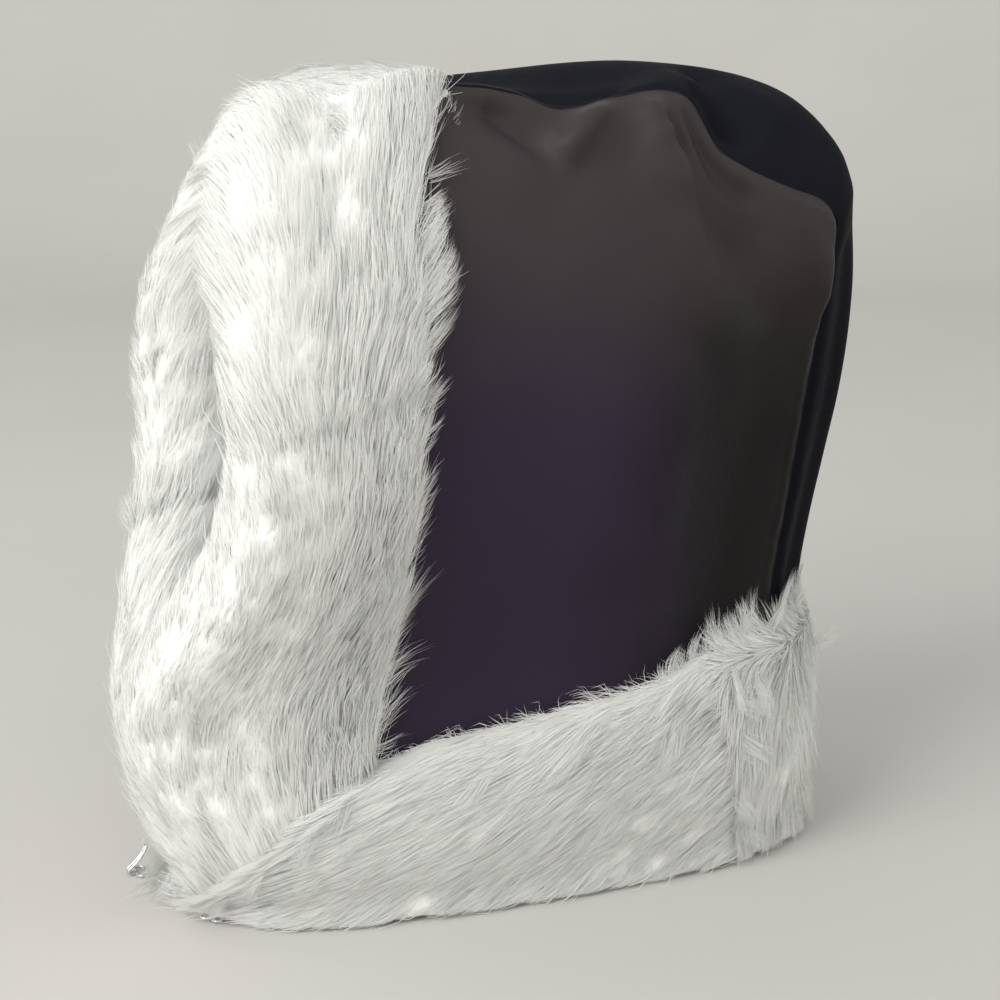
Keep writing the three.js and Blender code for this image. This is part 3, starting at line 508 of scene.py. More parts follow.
# cloth panels
SEAM_DIP, SEAM_DIP_WIDTH = 1.5, 3.2  # the cloth rolls into its seams
PUCKER, PUCKER_LENGTH = 0.35, 17.0  # small gathers beside the seams
DIP_INSIDE = 0.3  # share of the dip that shows inside
PANEL_COLUMNS, PANEL_ROWS, TO_SEAM = 92, 112, 1.35
GUSSET_ROWS, GUSSET_COLUMNS = 210, 44


def dip(distance, along):
    """How far the cloth lies below its surface near a seam, in millimetres."""
    roll = SEAM_DIP * np.exp(-(distance / SEAM_DIP_WIDTH) ** 2)
    waves = np.sin(along / PUCKER_LENGTH * 2 * np.pi + 1.3 * np.sin(along / 47)) + 0.6 * np.sin(along / 7.3)
    return roll + PUCKER * waves * np.exp(-distance / 9) * (1 - np.exp(-distance / 2.5))


def towards_seam(count):
    """Shares from 0 to 1, closer together near 1."""
    return 1 - (1 - np.linspace(0, 1, count)) ** TO_SEAM


def walls(point, normal, sunk):
    """Outer and inner points of a cloth wall around its middle surface."""
    return (point + normal * (CLOTH / 2 - sunk)[..., None],
            point - normal * (CLOTH / 2 + DIP_INSIDE * sunk)[..., None])


def side_panel():
    u, v = np.meshgrid(towards_seam(PANEL_COLUMNS), towards_seam(PANEL_ROWS), indexing="ij")
    sunk = dip((1 - v) * PANEL_HEIGHT, u * PANEL_DEPTH) + dip((1 - u) * PANEL_DEPTH, v * PANEL_HEIGHT)
    return walls(panel_point(u, v), panel_normal(u, v), sunk)


def gusset():
    across = np.sin(np.linspace(-np.pi / 2, np.pi / 2, GUSSET_COLUMNS))
    k, x = np.meshgrid(np.linspace(0, 2, GUSSET_ROWS), across, indexing="ij")
    sunk = dip((1 - np.abs(x)) * GUSSET_HALF, k * GUSSET_LENGTH + 40)
    return walls(gusset_point(k, x), gusset_normal(k, x), sunk)


left_walls = side_panel()
right_walls = [wall * MIRROR for wall in left_walls]
SIDE_FLAT, GUSSET_FLAT = (0.30, 0.345), (0.15, 0.65)  # cut sizes in metres
for piece_name, node_name, both_walls, skin, flat, rest in [
    ("cloth_side_left", "side_panel_left", left_walls, panel_cloth, SIDE_FLAT, ["neck_fur_left"]),
    ("cloth_side_right", "side_panel_right", right_walls, panel_cloth, SIDE_FLAT, ["neck_fur_right"]),
    ("cloth_gusset", "centre_gusset", gusset(), gusset_cloth, GUSSET_FLAT, ["neck_fur_back"]),
]:
    panel = shell(piece_name, *both_walls)
    panel.data.materials.append(skin)
    finish_piece(panel, "cloth", node_name)


# fur: the form of each strip
def cloth_at(kind, side, a, b):
    """Points and normals of the cloth: on a side panel a and b are u and v, on the gusset k and x."""
    if kind == "panel":
        point, normal = panel_point(a, b), panel_normal(a, b)
        return (point, normal) if side > 0 else (point * MIRROR, normal * MIRROR)
    point, normal = gusset_point(a, b), gusset_normal(a, b)
    on_seam = np.abs(b) > 0.999
    if on_seam.any():
        at, mitre = seam_frame(np.minimum(a, 2))
        turn = np.sign(b)[:, None] * np.array([1.0, 0, 0]) + np.array([0, 1.0, 1.0])
        point = np.where(on_seam[:, None], at * turn, point)
        normal = np.where(on_seam[:, None], mitre * turn, normal)
    return point, normal


def fur_row(foot, pile, kind, side, start, run):
    """One section of fur: places w from 0 at the hood's edge, its start, to 1 where the fur ends."""
    def place(w):
        return kind, side, start[0] + run[0] * w, start[1] + run[1] * w
    return {"foot": foot, "pile": pile, "place": place}


def face_row(side, v_edge, v_end):
    run = (look_up(FACE_FUR_EDGE, v_end), v_end - v_edge)
    return fur_row(0.0, PILE * look_up(FACE_PILE, v_edge), "panel", side, (0, v_edge), run)


def brow_row(x):
    return fur_row(0.0, PILE * FACE_PILE[-1][1], "gusset", 1, (0, x), (look_up(FACE_FUR_EDGE, 1), 0))


def neck_row(side, u_edge, u_end):
    return fur_row(1.0, PILE, "panel", side, (u_edge, 0), (u_end - u_edge, look_up(NECK_FUR_EDGE, u_end)))


def nape_row(x):
    return fur_row(1.0, PILE, "gusset", 1, (2, x), (-look_up(NECK_FUR_EDGE, 1), 0))


def at_mitre(row):
    """A section halfway between the forms of the face trim and the neck band."""
    return {**row, "foot": 0.5}


def section(row):
    """The outer form and the base of one section, from the end of the fur on the cloth to the inside."""
    place, foot, pile = row["place"], row["foot"], row["pile"]

    def lifted(w, heights):
        point, normal = cloth_at(*place(w))
        return point + normal * heights[:, None]

    edge, edge_normal = cloth_at(*place(np.array([0.0, EDGE_REACH])))
    ahead = unit(edge[0] - edge[1])
    w, rise = np.array(PILE_PROFILE).T
    outside, outside_base = lifted(w, np.maximum(pile * rise, LEAST_PILE)), lifted(w, 0 * rise + BACKING)
    far, up = (np.array(FACE_NOSE) + (np.array(FOOT_NOSE) - FACE_NOSE) * foot).T[..., None]
    nose = edge[0] + ahead * NOSE * far + edge_normal[0] * np.where(up > 0, pile, PILE_INSIDE) * up
    nose_base = np.repeat(edge[:1], 3, 0) + ahead * 0.5
    turn_in = FACE_TURN_IN + (NECK_TURN_IN - FACE_TURN_IN) * foot
    w, depth = np.array(INNER_PROFILE).T
    inside = lifted(turn_in * w, depth * PILE_INSIDE)
    inside_base = lifted(turn_in * w, 0 * depth + BACKING_INSIDE)
    top = np.concatenate([outside, nose, inside])
    base = np.concatenate([outside_base, nose_base, inside_base])
    keep_above(top, OFF_FLOOR)
    keep_above(base, BACKING_OFF_FLOOR)
    return top, base


def smooth_through(a, per_step):
    """Adds points between the rows of an array, on smooth lines through them."""
    a = np.concatenate([2 * a[:1] - a[1:2], a, 2 * a[-1:] - a[-2:-1]])
    n = len(a) - 3
    x = np.linspace(0, n, n * per_step + 1)
    i = np.minimum(x.astype(int), n - 1)
    t = (x - i).reshape((-1,) + (1,) * (a.ndim - 1))
    p0, p1, p2, p3 = a[i], a[i + 1], a[i + 2], a[i + 3]
    return 0.5 * (2 * p1 + (p2 - p0) * t + (2 * p0 - 5 * p1 + 4 * p2 - p3) * t ** 2
                  + (3 * p1 - p0 - 3 * p2 + p3) * t ** 3)


STEPS_ALONG, STEPS_ACROSS = 8, 5  # from one section, or one point of a section, to the next
BLURS = 6


class Strip:
    """A fur strip as a grid: r runs along it in sections, t across it from 0 on the cloth to 1 inside."""

    def __init__(self, rows, puff):
        self.top, self.base = (self.fine_grid(np.array(form)) for form in zip(*map(section, rows)))
        self.nr, self.nt = self.top.shape[:2]
        keep_above(self.top, OFF_FLOOR)
        self.measure()
        self.top = self.top + self.normal * puff(*share_grid(self.nr, self.nt))[..., None]
        keep_above(self.top, OFF_FLOOR)
        self.measure()
        self.area = self.step_r * self.step_t

    @staticmethod
    def fine_grid(grid):
        grid = smooth_through(grid, STEPS_ALONG)
        return np.swapaxes(smooth_through(np.swapaxes(grid, 0, 1), STEPS_ACROSS), 0, 1)

    def measure(self):
        """Directions, steps and smoothed normals of the grid."""
        middle = self.top * 0.8 + self.base * 0.2
        ways = along_r, along_t = np.gradient(middle, axis=(0, 1))
        self.step_r, self.step_t = (np.maximum(np.linalg.norm(way, axis=-1), 0.05) for way in ways)
        self.dr, self.onwards = unit(along_r), unit(np.gradient(self.base, axis=1))
        normal = unit(np.cross(along_r, along_t))
        self.flip = (normal * (self.top - self.base)).sum() < 0
        if self.flip:
            normal = -normal
        for _ in range(BLURS):
            normal = unit(normal + self.blur(normal))
        self.normal = normal

    @staticmethod
    def blur(a):
        padded = np.pad(a, ((1, 1), (1, 1), (0, 0)), mode="edge")
        return (padded[:-2, 1:-1] + padded[2:, 1:-1] + padded[1:-1, :-2] + padded[1:-1, 2:]) / 4

    def read(self, grid, r, t):
        """Value of a grid at places r, t, which count grid rows and columns."""
        r, t = self.held(r, t)
        i, j = r.astype(int), t.astype(int)
        a, b = r - i, t - j
        if grid.ndim == 3:
            a, b = a[..., None], b[..., None]
        return (grid[i, j] * (1 - a) * (1 - b) + grid[i + 1, j] * a * (1 - b)
                + grid[i, j + 1] * (1 - a) * b + grid[i + 1, j + 1] * a * b)

    def held(self, r, t):
        """The same places, kept on the grid."""
        return np.clip(r, 0, self.nr - 1.001), np.clip(t, 0, self.nt - 1.001)

    def shares(self, r, t):
        return r / (self.nr - 1), t / (self.nt - 1)

    def steps(self, r, t):
        """Millimetres from one grid line to the next."""
        return self.read(self.step_r, r, t), self.read(self.step_t, r, t)

    def halfway(self, r, t):
        return self.read(self.base, r, t) * 0.5 + self.read(self.top, r, t) * 0.5


# fur: the hair
HAIR_LENGTH, HAIR_WIDTH, FINE_HAIR = 24.0, 0.42, 0.6  # fine hair as a share of the width
HAIR_POINTS = 4
HAIRS_PER_LOCK = 45
LOCK_TURN, HAIR_TURN, HAIR_CURL = 0.11, 0.08, 0.16  # spread of the angles
LOCK_LIFT, HAIR_LIFT = 0.03, 0.045  # spread of the height, as a share of the pile
WISP_SHARE, FRINGE_SHARE = 0.02, 0.14  # hairs that stand up, and that lean out at the edge
CLUMPS = [(12, 0.3), (90, 0.14)]  # hairs in a clump, and how far they close up
COAT_HEIGHT = 0.73


def nearest_of(points, picked):
    """For each point, which of the picked ones is nearest to it."""
    tree = KDTree(len(picked))
    for n, c in enumerate(picked):
        tree.insert(points[c], n)
    tree.balance()
    return np.array([tree.find(p)[1] for p in points])


def draw_together(paths, leader, pull, spread=0.25):
    """Bends each hair towards its leader's, more so at the tip."""
    mix = pull * np.linspace(0, 1, paths.shape[1])[None, :, None] ** 1.3
    aside = (paths[:, 0] - paths[leader, 0])[:, None] * spread
    return paths * (1 - mix) + (paths[leader] + aside) * mix


def sow(strip, spec, rng):
    """Where the hairs grow: more of them at the end of the fur on the cloth, fewer inside and below."""
    r, t = share_grid(strip.nr, strip.nt)
    near_edge = np.interp(t - spec["edge"](r), [-0.001, 0, 0.03, 0.1], [0, 2.6, 2.0, 1])
    density = strip.area * np.interp(t, [0, 0.7, 0.88, 1], [1, 1, 0.7, 0.3]) * near_edge
    density = np.where(strip.top[..., 2] < 1.0, density * 0.25, density)
    flat = density[:-1, :-1].reshape(-1)
    cell = rng.choice(len(flat), spec["count"], p=flat / flat.sum())
    row, column = np.divmod(cell, strip.nt - 1)
    return row + rng.random(len(cell)), column + rng.random(len(cell))


def loose_hair(strip, spec, rng):
    """Hair in locks, each with its own lie, length and lift. At the edge on the cloth it is less orderly."""
    r, t = sow(strip, spec, rng)
    n = len(r)
    along, across = strip.shares(r, t)
    lock_count = n // HAIRS_PER_LOCK
    lock = nearest_of(strip.halfway(r, t), rng.choice(n, lock_count, replace=False))

    def varied(middle, of_locks, of_hairs):
        return rng.normal(middle, of_locks, lock_count)[lock], rng.normal(middle, of_hairs, n)

    at_edge = np.interp(across - spec["edge"](along), [0, 0.05, 0.12], [1, 0.8, 0])
    turn = sum(varied(0, LOCK_TURN, HAIR_TURN)) * (1 + 0.4 * at_edge)
    fringe = np.where(rng.random(n) < FRINGE_SHARE * at_edge, rng.uniform(0.3, 1.3, n), 0)
    length = HAIR_LENGTH * np.clip(np.prod(varied(1, 0.16, 0.12), axis=0), 0.4, 1.7)
    lift = sum(varied(0, LOCK_LIFT, HAIR_LIFT))
    lift = np.where(rng.random(n) < WISP_SHARE, lift + rng.uniform(0.15, 0.6, n), lift)
    return {
        "r": r, "t": t, "turn": turn, "fringe": fringe, "length": length,
        "lift": lift + at_edge * rng.uniform(0.0, 0.15, n),
        "curl": rng.normal(0, HAIR_CURL, n) * (1 + at_edge),
        "stand": spec["stand"](along, across) * rng.uniform(0.4, 1.2, n),
        "lie": np.full((n, 2), np.nan), "leader": np.arange(n), "pull": np.zeros(n),
        "fine": np.where(fringe == 0, 1, FINE_HAIR),
    }


def tuft_hair(strip, tuft, leader, rng):
    """A bundle of hair with a lie of its own that runs together to a tip."""
    along, across, lie_along, lie_across, length, stand, radius, hairs = tuft
    r, t = np.array([along * (strip.nr - 1)]), np.array([across * (strip.nt - 1)])
    angle, away = rng.uniform(0, 2 * np.pi, hairs), radius * np.sqrt(rng.random(hairs))
    away[0] = 0
    step_r, step_t = strip.steps(r, t)
    r, t = strip.held(r + away * np.cos(angle) / step_r, t + away * np.sin(angle) / step_t)
    return {
        "r": r, "t": t, "turn": rng.normal(0, 0.14, hairs), "fringe": np.zeros(hairs),
        "length": length * rng.uniform(0.5, 1.12, hairs), "lift": rng.normal(0.1, 0.05, hairs),
        "curl": rng.normal(0, 0.12, hairs), "stand": stand * rng.uniform(0.8, 1.1, hairs),
        "lie": np.tile((lie_along, lie_across), (hairs, 1)), "leader": np.full(hairs, leader),
        "pull": rng.uniform(0.0, 0.5, hairs) * min(1, hairs / 60), "fine": np.full(hairs, FINE_HAIR),
    }


def trace(strip, spec, hair, rng):
    """Paths of the hairs, each a row of points from root to tip."""
    r, t = hair["r"], hair["t"]
    n = len(r)
    extra, outward = np.zeros((n, 3)), np.zeros(n)
    paths = np.empty((n, HAIR_POINTS, 3))
    to_join = np.minimum(r, strip.nr - 1 - r) / (strip.nr - 1)
    root_height = rng.uniform(0.3, 0.62, n) + np.interp(to_join, [0, 0.05], [0.28, 0])
    tip_height = 0.93 + hair["lift"]
    move = hair["length"] / (HAIR_POINTS - 1)
    for step in range(HAIR_POINTS):
        s = step / (HAIR_POINTS - 1)
        low, high = strip.read(strip.base, r, t), strip.read(strip.top, r, t)
        height = under_top(root_height + (tip_height - root_height) * s ** 0.8, low, high)
        away = outward + hair["stand"] * s ** 1.4
        raised = strip.read(strip.normal, r, t) * away[:, None]
        paths[:, step] = low + (high - low) * height[:, None] + extra + raised
        along, across = strip.shares(r, t)
        lie = np.transpose(spec["flow"](along, across, across - spec["edge"](along)))
        lie_r, lie_t = np.where(np.isnan(hair["lie"]), lie, hair["lie"]).T
        lie_t = lie_t - hair["fringe"]
        angle = hair["turn"] + hair["curl"] * s
        c, k, size = np.cos(angle), np.sin(angle), np.hypot(lie_r, lie_t)
        step_r, step_t = strip.steps(r, t)
        new_r = r + (lie_r * c - lie_t * k) / size * move / step_r
        new_t = t + (lie_r * k + lie_t * c) / size * move / step_t
        # Past an end of the strip the hair goes straight on, and away from the cloth
        r, t = strip.held(new_r, new_t)
        step_r, step_t = strip.steps(r, t)
        past_r, past_t = (new_r - r) * step_r, (new_t - t) * step_t
        for past, way, lean, least in (past_r, strip.dr, 0.12, 0.04), (past_t, strip.onwards, 0.15, 0.06):
            extra += strip.read(way, r, t) * past[:, None]
            outward += np.abs(past) * np.maximum(lean + 0.9 * hair["lift"], least)
    return paths


def grow_hair(strip, spec, rng):
    """All hairs of a strip: loose ones that clump, and tufts."""
    count = spec["count"]
    bundles = [loose_hair(strip, spec, rng)]
    leader = count
    for tuft in spec["tufts"]:
        bundles.append(tuft_hair(strip, tuft, leader, rng))
        leader += len(bundles[-1]["r"])
    hair = {key: np.concatenate([bundle[key] for bundle in bundles]) for key in bundles[0]}
    paths = trace(strip, spec, hair, rng)
    roots = strip.halfway(hair["r"], hair["t"])
    loose = (np.arange(len(roots)) < count)[:, None, None]
    for hairs, pull in CLUMPS:
        picked = rng.choice(count, count // hairs, replace=False)
        near = picked[nearest_of(roots, picked)]
        paths = np.where(loose, draw_together(paths, near, pull), paths)
    tufted = draw_together(paths, hair["leader"], hair["pull"][:, None, None], 0.1)
    paths = np.where(loose, paths, tufted)
    keep_above(paths, HAIR_OFF_FLOOR)
    return hair["r"], hair["t"], paths, hair["fine"]


def under_top(share, low, high):
    """Where the fur is fluffed up, depths below its top stay those of fur of the usual height."""
    thickness = np.maximum(np.linalg.norm(high - low, axis=-1), 0.1)
    return 1 - (1 - share) * np.minimum(1, PILE / thickness)


def ribbons(strip, r, t, paths, width, rng):
    """Flat tapering ribbons along the paths: points, triangles, share along each hair, and normals."""
    n, m = paths.shape[:2]
    tangent = unit(np.gradient(paths, axis=1))
    surface = strip.read(strip.normal, r, t)[:, None] * np.ones((1, m, 1))
    side = unit(np.cross(tangent, surface))
    angle = rng.normal(0, 0.6, n)[:, None, None]
    across = side * np.cos(angle) + np.cross(side, tangent) * np.sin(angle)
    share = np.linspace(0, 1, m)
    taper = np.interp(share, [0, 0.4, 0.8, 1], [0.9, 1, 0.6, 0])
    half = (0.5 * width * rng.uniform(0.8, 1.25, n))[:, None] * taper[None]
    left = paths + across * half[..., None]
    right = paths - across * half[..., None]
    verts = np.concatenate([left[:, :-1], right[:, :-1], paths[:, -1:]], axis=1)
    per = 2 * (m - 1) + 1
    pattern = [corners for k in range(m - 2) for corners in ((k, k + m, k + m - 1), (k, k + 1, k + m))]
    pattern.append((m - 2, 2 * m - 2, 2 * m - 3))
    triangles = (np.arange(n)[:, None, None] * per + np.array(pattern)).reshape(-1, 3)
    along = np.concatenate([share[:-1], share[:-1], share[-1:]])
    own = unit(np.cross(tangent, across))
    own = own * np.sign(dot(own, surface) + 1e-9)
    soft = unit(surface + own * 0.2 + rng.normal(0, 0.04, (n, 1, 3)))
    normals = np.concatenate([soft[:, :-1], soft[:, :-1], soft[:, -1:]], axis=1)
    return verts.reshape(-1, 3), triangles, np.tile(along, n), normals.reshape(-1, 3)


def coat(strip, edge):
    """The dense undercoat, a little below the tips of the hair, closed at the strip's two ends."""
    top, base, normal = strip.top[::2, ::2], strip.base[::2, ::2], strip.normal[::2, ::2]
    rows, columns = top.shape[:2]
    along, across = share_grid(rows, columns)
    from_edge = across - edge(along)
    level = under_top(COAT_HEIGHT, base, top) * np.clip((from_edge - 0.03) / 0.18, 0.04, 1)
    grid = base + (top - base) * level[..., None]
    keep_above(grid, COAT_OFF_FLOOR)
    count = rows * columns
    outside = grid_faces(rows, columns, 0, strip.flip)
    outside = outside[(from_edge.reshape(-1)[outside] > 0).all(1)]
    faces = [outside]
    for start, flip in ((0, False), ((rows - 1) * columns, True)):
        a = start + np.arange(columns - 1)
        a = a[from_edge.reshape(-1)[a] > 0]
        end = np.stack([a, a + 1, a + 1 + count, a + count], -1)
        faces.append(end[:, ::-1] if flip != strip.flip else end)
    points = np.concatenate([grid.reshape(-1, 3), base.reshape(-1, 3)])
    return points, np.concatenate(faces), np.concatenate([normal.reshape(-1, 3)] * 2)


# How the hair of each strip lies: r runs along the strip, t across it, both from 0 to 1, and d is
# how far t is from where the fur ends on the cloth.
def not_fluffed(r, t):
    return 0 * r


def straight_edge(r):
    return 0 * r + 0.1


def arch_edge(r):
    """Only tufts reach the end of the fur on the near side, above the join."""
    places = [0, 0.03, 0.06, 0.1, 0.13, 0.17, 0.22, 1]
    return np.interp(r, places, [0.2, 0.22, 0.24, 0.24, 0.2, 0.16, 0.14, 0.14])


def lower_edge(r):
    return np.interp(r, [0, 0.15, 0.35, 1], [0.2, 0.17, 0.14, 0.13])


def splayed(d, width):
    """Share of the way that leads out over the cloth."""
    return -width * np.interp(d, [0, 0.05, 0.1, 0.2, 0.3], [1, 0.8, 0.35, 0.1, 0])


def round_the_front(t):
    return np.interp(t, [0.3, 0.55, 0.7, 1], [0, 0.12, 0.2, 0.1])


def up_the_face(r, t, d):
    return -np.ones_like(r), 0.1 + round_the_front(t)


def up_and_over(r, t, d):
    """The arch: up the near side, up the far side, forwards over the brow."""
    near = np.clip((0.42 - r) / 0.2, 0, 1)
    far = np.clip((r - 0.5) / 0.2, 0, 1)
    middle = 1 - near - far
    width = np.interp(r, [0, 0.03, 0.06, 0.13, 0.17, 0.22], [0, 0.1, 0.2, 0.2, 0.1, 0])
    aside = splayed(d, width) + round_the_front(t)
    over = np.interp(t, [0, 0.2, 1], [-0.3, 0.9, 0.9])
    return near - far + 0.15 * middle, aside * (near + far) + middle * over


NEAR_PUFF, FAR_PUFF = 22.0, 32.0  # the long fur stands this far into the face opening


def inwards(t):
    return np.interp(t, [0.62, 0.72, 0.82, 1], [0, 0.45, 1, 0.85])


def forwards(t):
    """Where the fur of the near side stands forwards and hides the face opening."""
    return np.interp(t, [0.4, 0.55, 0.66, 0.76, 0.86], [0, 0.75, 1, 1, 0])


def puffed_arch(r, t):
    near = forwards(t) * np.interp(r, [0, 0.08, 0.15, 0.25, 0.38, 0.5], [6, 10, 20, 26, 19, 0])
    inside = np.interp(r, [0, 0.15, 0.3, 0.45], [1, 1, 0.4, 0.3]) * NEAR_PUFF
    far = np.interp(r, [0.45, 0.62, 0.68, 0.78], [0.2, 0.1, 0.4, 1]) * FAR_PUFF
    return near + inwards(t) * np.where(r < 0.45, inside, far)


def puffed_near(r, t):
    near = forwards(t) * np.interp(r, [0, 0.1, 0.3, 0.6, 0.85, 1], [6, 9, 13, 14, 8, 1])
    return near + puffed_far(r, t) * NEAR_PUFF / FAR_PUFF


def puffed_far(r, t):
    return FAR_PUFF * inwards(t) * np.interp(r, [0, 0.5, 0.9, 1], [1, 1, 0.5, 0.2])


def fluffed_front(r, t):
    """How far the tips of the arch stand off."""
    near = np.interp(r, [0, 0.12, 0.3, 0.42, 0.5], [4, 8, 10, 8, 0])
    far = np.interp(r, [0.66, 0.78, 1], [0, 6, 6])
    return (near * np.interp(t, [0.4, 0.55, 0.7, 0.8], [0, 1, 1, 0.2])
            + far * np.interp(t, [0.62, 0.72, 0.9, 1], [0, 1, 1, 0.4]))


def to_the_throat(r, t, d):
    down = np.interp(t, [0.08, 0.2, 0.35, 1], [0.05, 0.25, 0.45, 0.5])
    return -np.ones_like(r), down * np.interp(r, [0, 0.2], [0.2, 1])


def down_the_nape(r, t, d):
    aside = np.interp(r, [0.45, 0.75], [-0.45, 0.45])
    return aside, splayed(d, 0.7) + np.interp(d, [0, 0.1, 0.2], [0.0, 0.8, 1.1])


# Tufts of each strip: place along and across it, lie along and across, length, how far the tip stands
# off, radius of the root and number of hairs, sizes in millimetres
ARCH_TUFTS = [
    (0.03, 0.22, 1, -0.6, 24, 2, 5, 60),
    (0.05, 0.24, 1, -0.7, 31, 3, 5, 75),
    (0.065, 0.25, 1, -0.9, 31, 4, 5, 75),
    (0.08, 0.25, 0.9, -1, 30, 3, 5, 75),
    (0.095, 0.24, 0.9, -1, 28, 4, 5, 75),
    (0.11, 0.22, 0.8, -1, 25, 3, 5, 70),
    (0.125, 0.2, 0.7, -1, 22, 4, 5, 50),
    (0.145, 0.17, 0.5, -1, 17, 3, 4, 50),
    (0.175, 0.13, 0.2, -1, 16, 5, 3, 24),
    (0.67, 0.5, -1, 0.3, 17, 6, 3, 30),
]
FACE_LEFT_TUFTS = [
    *[(0.02, t, -1, 0.1, 13, 2, 4, 60) for t in np.arange(0.16, 0.56, 0.045)],
    *[(0.97, t, 0.5, 0.8, 20, 3, 5, 80) for t in (0.2, 0.28, 0.36, 0.44)],
    (0.04, 0.18, -1, -0.8, 15, 3, 4, 9),
    (0.1, 0.17, -0.7, -1, 17, 3, 4, 12),
    (0.15, 0.17, -1, -0.5, 17, 3, 4, 9),
    (0.22, 0.15, -0.8, -1, 18, 2, 5, 16),
    (0.27, 0.15, -1, -0.9, 16, 4, 5, 9),
    (0.33, 0.15, -1, -0.6, 20, 3, 5, 12),
    (0.4, 0.15, -0.6, -1, 14, 3, 5, 7),
    (0.5, 0.15, -1, -0.6, 15, 3, 5, 9),
    (0.57, 0.15, -1, -0.9, 27, 3, 6, 22),
    (0.62, 0.15, -1, -0.5, 22, 4, 6, 12),
    (0.7, 0.15, -0.6, -1, 20, 4, 6, 14),
    (0.76, 0.15, -0.4, -1, 24, 3, 7, 18),
    (0.82, 0.15, -0.9, -1, 22, 4, 6, 12),
    (0.88, 0.15, -0.4, -1, 24, 4, 6, 20),
    (0.94, 0.15, 0.1, -1, 18, 4, 6, 18),
    (0.125, 0.54, -1, 0.1, 22, 5, 4, 90),
    (0.3, 0.35, -1, 0.2, 30, 4, 6, 110),
    (0.5, 0.3, -1, -0.1, 30, 4, 6, 110),
    (0.65, 0.45, -1, 0.3, 30, 5, 6, 110),
]
FACE_RIGHT_TUFTS = [
    *[(0.02, t, -1, 0.1, 15, 4, 4, 70) for t in (0.62, 0.68, 0.74, 0.8, 0.86)],
]
NECK_LEFT_TUFTS = [
    *[(0.03, t, -1, 0.1, 20, 2, 5, 90) for t in (0.18, 0.25, 0.32, 0.39, 0.46)],
    (0.79, 0.11, -0.7, -1, 14, 3, 3, 30),
    (0.82, 0.11, -0.3, -1, 18, 4, 3, 45),
    (0.86, 0.11, -0.5, -1, 18, 4, 3, 45),
    (0.9, 0.11, -0.2, -1, 20, 4, 3, 55),
    (0.95, 0.11, -0.4, -1, 14, 3, 3, 30),
    (0.625, 0.13, -1, 0.9, 42, 4, 5, 180),
    (0.354, 0.214, -0.5, 1, 22, 4, 4, 90),
    (0.5, 0.3, -1, 0.5, 34, 4, 6, 120),
    (0.75, 0.35, -1, 0.7, 34, 4, 6, 120),
    (0.2, 0.3, -1, 0.5, 34, 4, 6, 120),
    (0.98, 0.4, 0.3, 1, 19, 4, 4, 90),
    (0.97, 0.22, 1, 0.5, 22, 4, 5, 60),
    (0.98, 0.3, 1, 0.8, 20, 4, 5, 60),
    (0.97, 0.48, 1, 0.6, 20, 3, 5, 60),
    (0.85, 0.2, -0.6, 1, 26, 4, 5, 110),
    (0, 0.62, -1, 0, 24, 2, 4, 160),
]
NECK_BACK_TUFTS = [
    (0.24, 0.1, 0, -1, 29, 2, 3, 140),
    (0.05, 0.09, -0.2, -1, 13, 4, 3, 60),
    (0.15, 0.09, 0.3, -1, 12, 4, 3, 60),
    (0.33, 0.09, 0.5, -1, 12, 6, 3, 50),
    (0, 0.17, -0.3, 1, 19, 4, 4, 110),
    (0.05, 0.19, -0.1, 1, 19, 4, 4, 110),
    (0.35, 0.22, 1, -0.3, 20, 12, 3, 40),
    (0.31, 0.45, 0, 1, 30, 6, 4, 90),
    (0.27, 0.4, -0.4, 1, 26, 5, 4, 90),
    (0.15, 0.3, -0.5, 1, 26, 5, 5, 110),
    (0.02, 0.36, -0.8, 0.6, 20, 4, 5, 60),
    (0.02, 0.46, -0.8, 0.4, 18, 4, 5, 60),
]
NECK_RIGHT_TUFTS = [
    (0, 0.6, -1, 0.1, 32, 1, 5, 260),
    (0, 0.66, -1, -0.1, 32, 1, 5, 260),
]

across_places = np.sin(np.linspace(np.pi / 2, -np.pi / 2, ACROSS))
across_places[0], across_places[-1] = 1, -1


def lower_face_rows(side, join, count):
    shares = np.linspace(0, 1, count + 1)
    rows = [face_row(side, join * (1 - s), join + (MITRE_V - join) * s) for s in shares]
    return rows[:-1] + [at_mitre(rows[-1])]


def neck_rows(side, count):
    shares = np.linspace(0, 1, count + 1)
    rows = [neck_row(side, REAR_NECK_JOIN * s, MITRE_U + (REAR_NECK_JOIN - MITRE_U) * s) for s in shares]
    return [at_mitre(rows[0])] + rows[1:]


arch_rows = [face_row(1, v, v) for v in np.linspace(NEAR_FACE_JOIN, LAST_BEFORE_BROW, 6)]
arch_rows += [brow_row(x) for x in across_places]
arch_rows += [face_row(-1, v, v) for v in np.linspace(LAST_BEFORE_BROW, FAR_FACE_JOIN, 9)]
nape_rows = [neck_row(1, u, u) for u in (REAR_NECK_JOIN, LAST_BEFORE_NAPE)]
nape_rows += [nape_row(x) for x in across_places]
nape_rows += [neck_row(-1, u, u) for u in (LAST_BEFORE_NAPE, REAR_NECK_JOIN)]

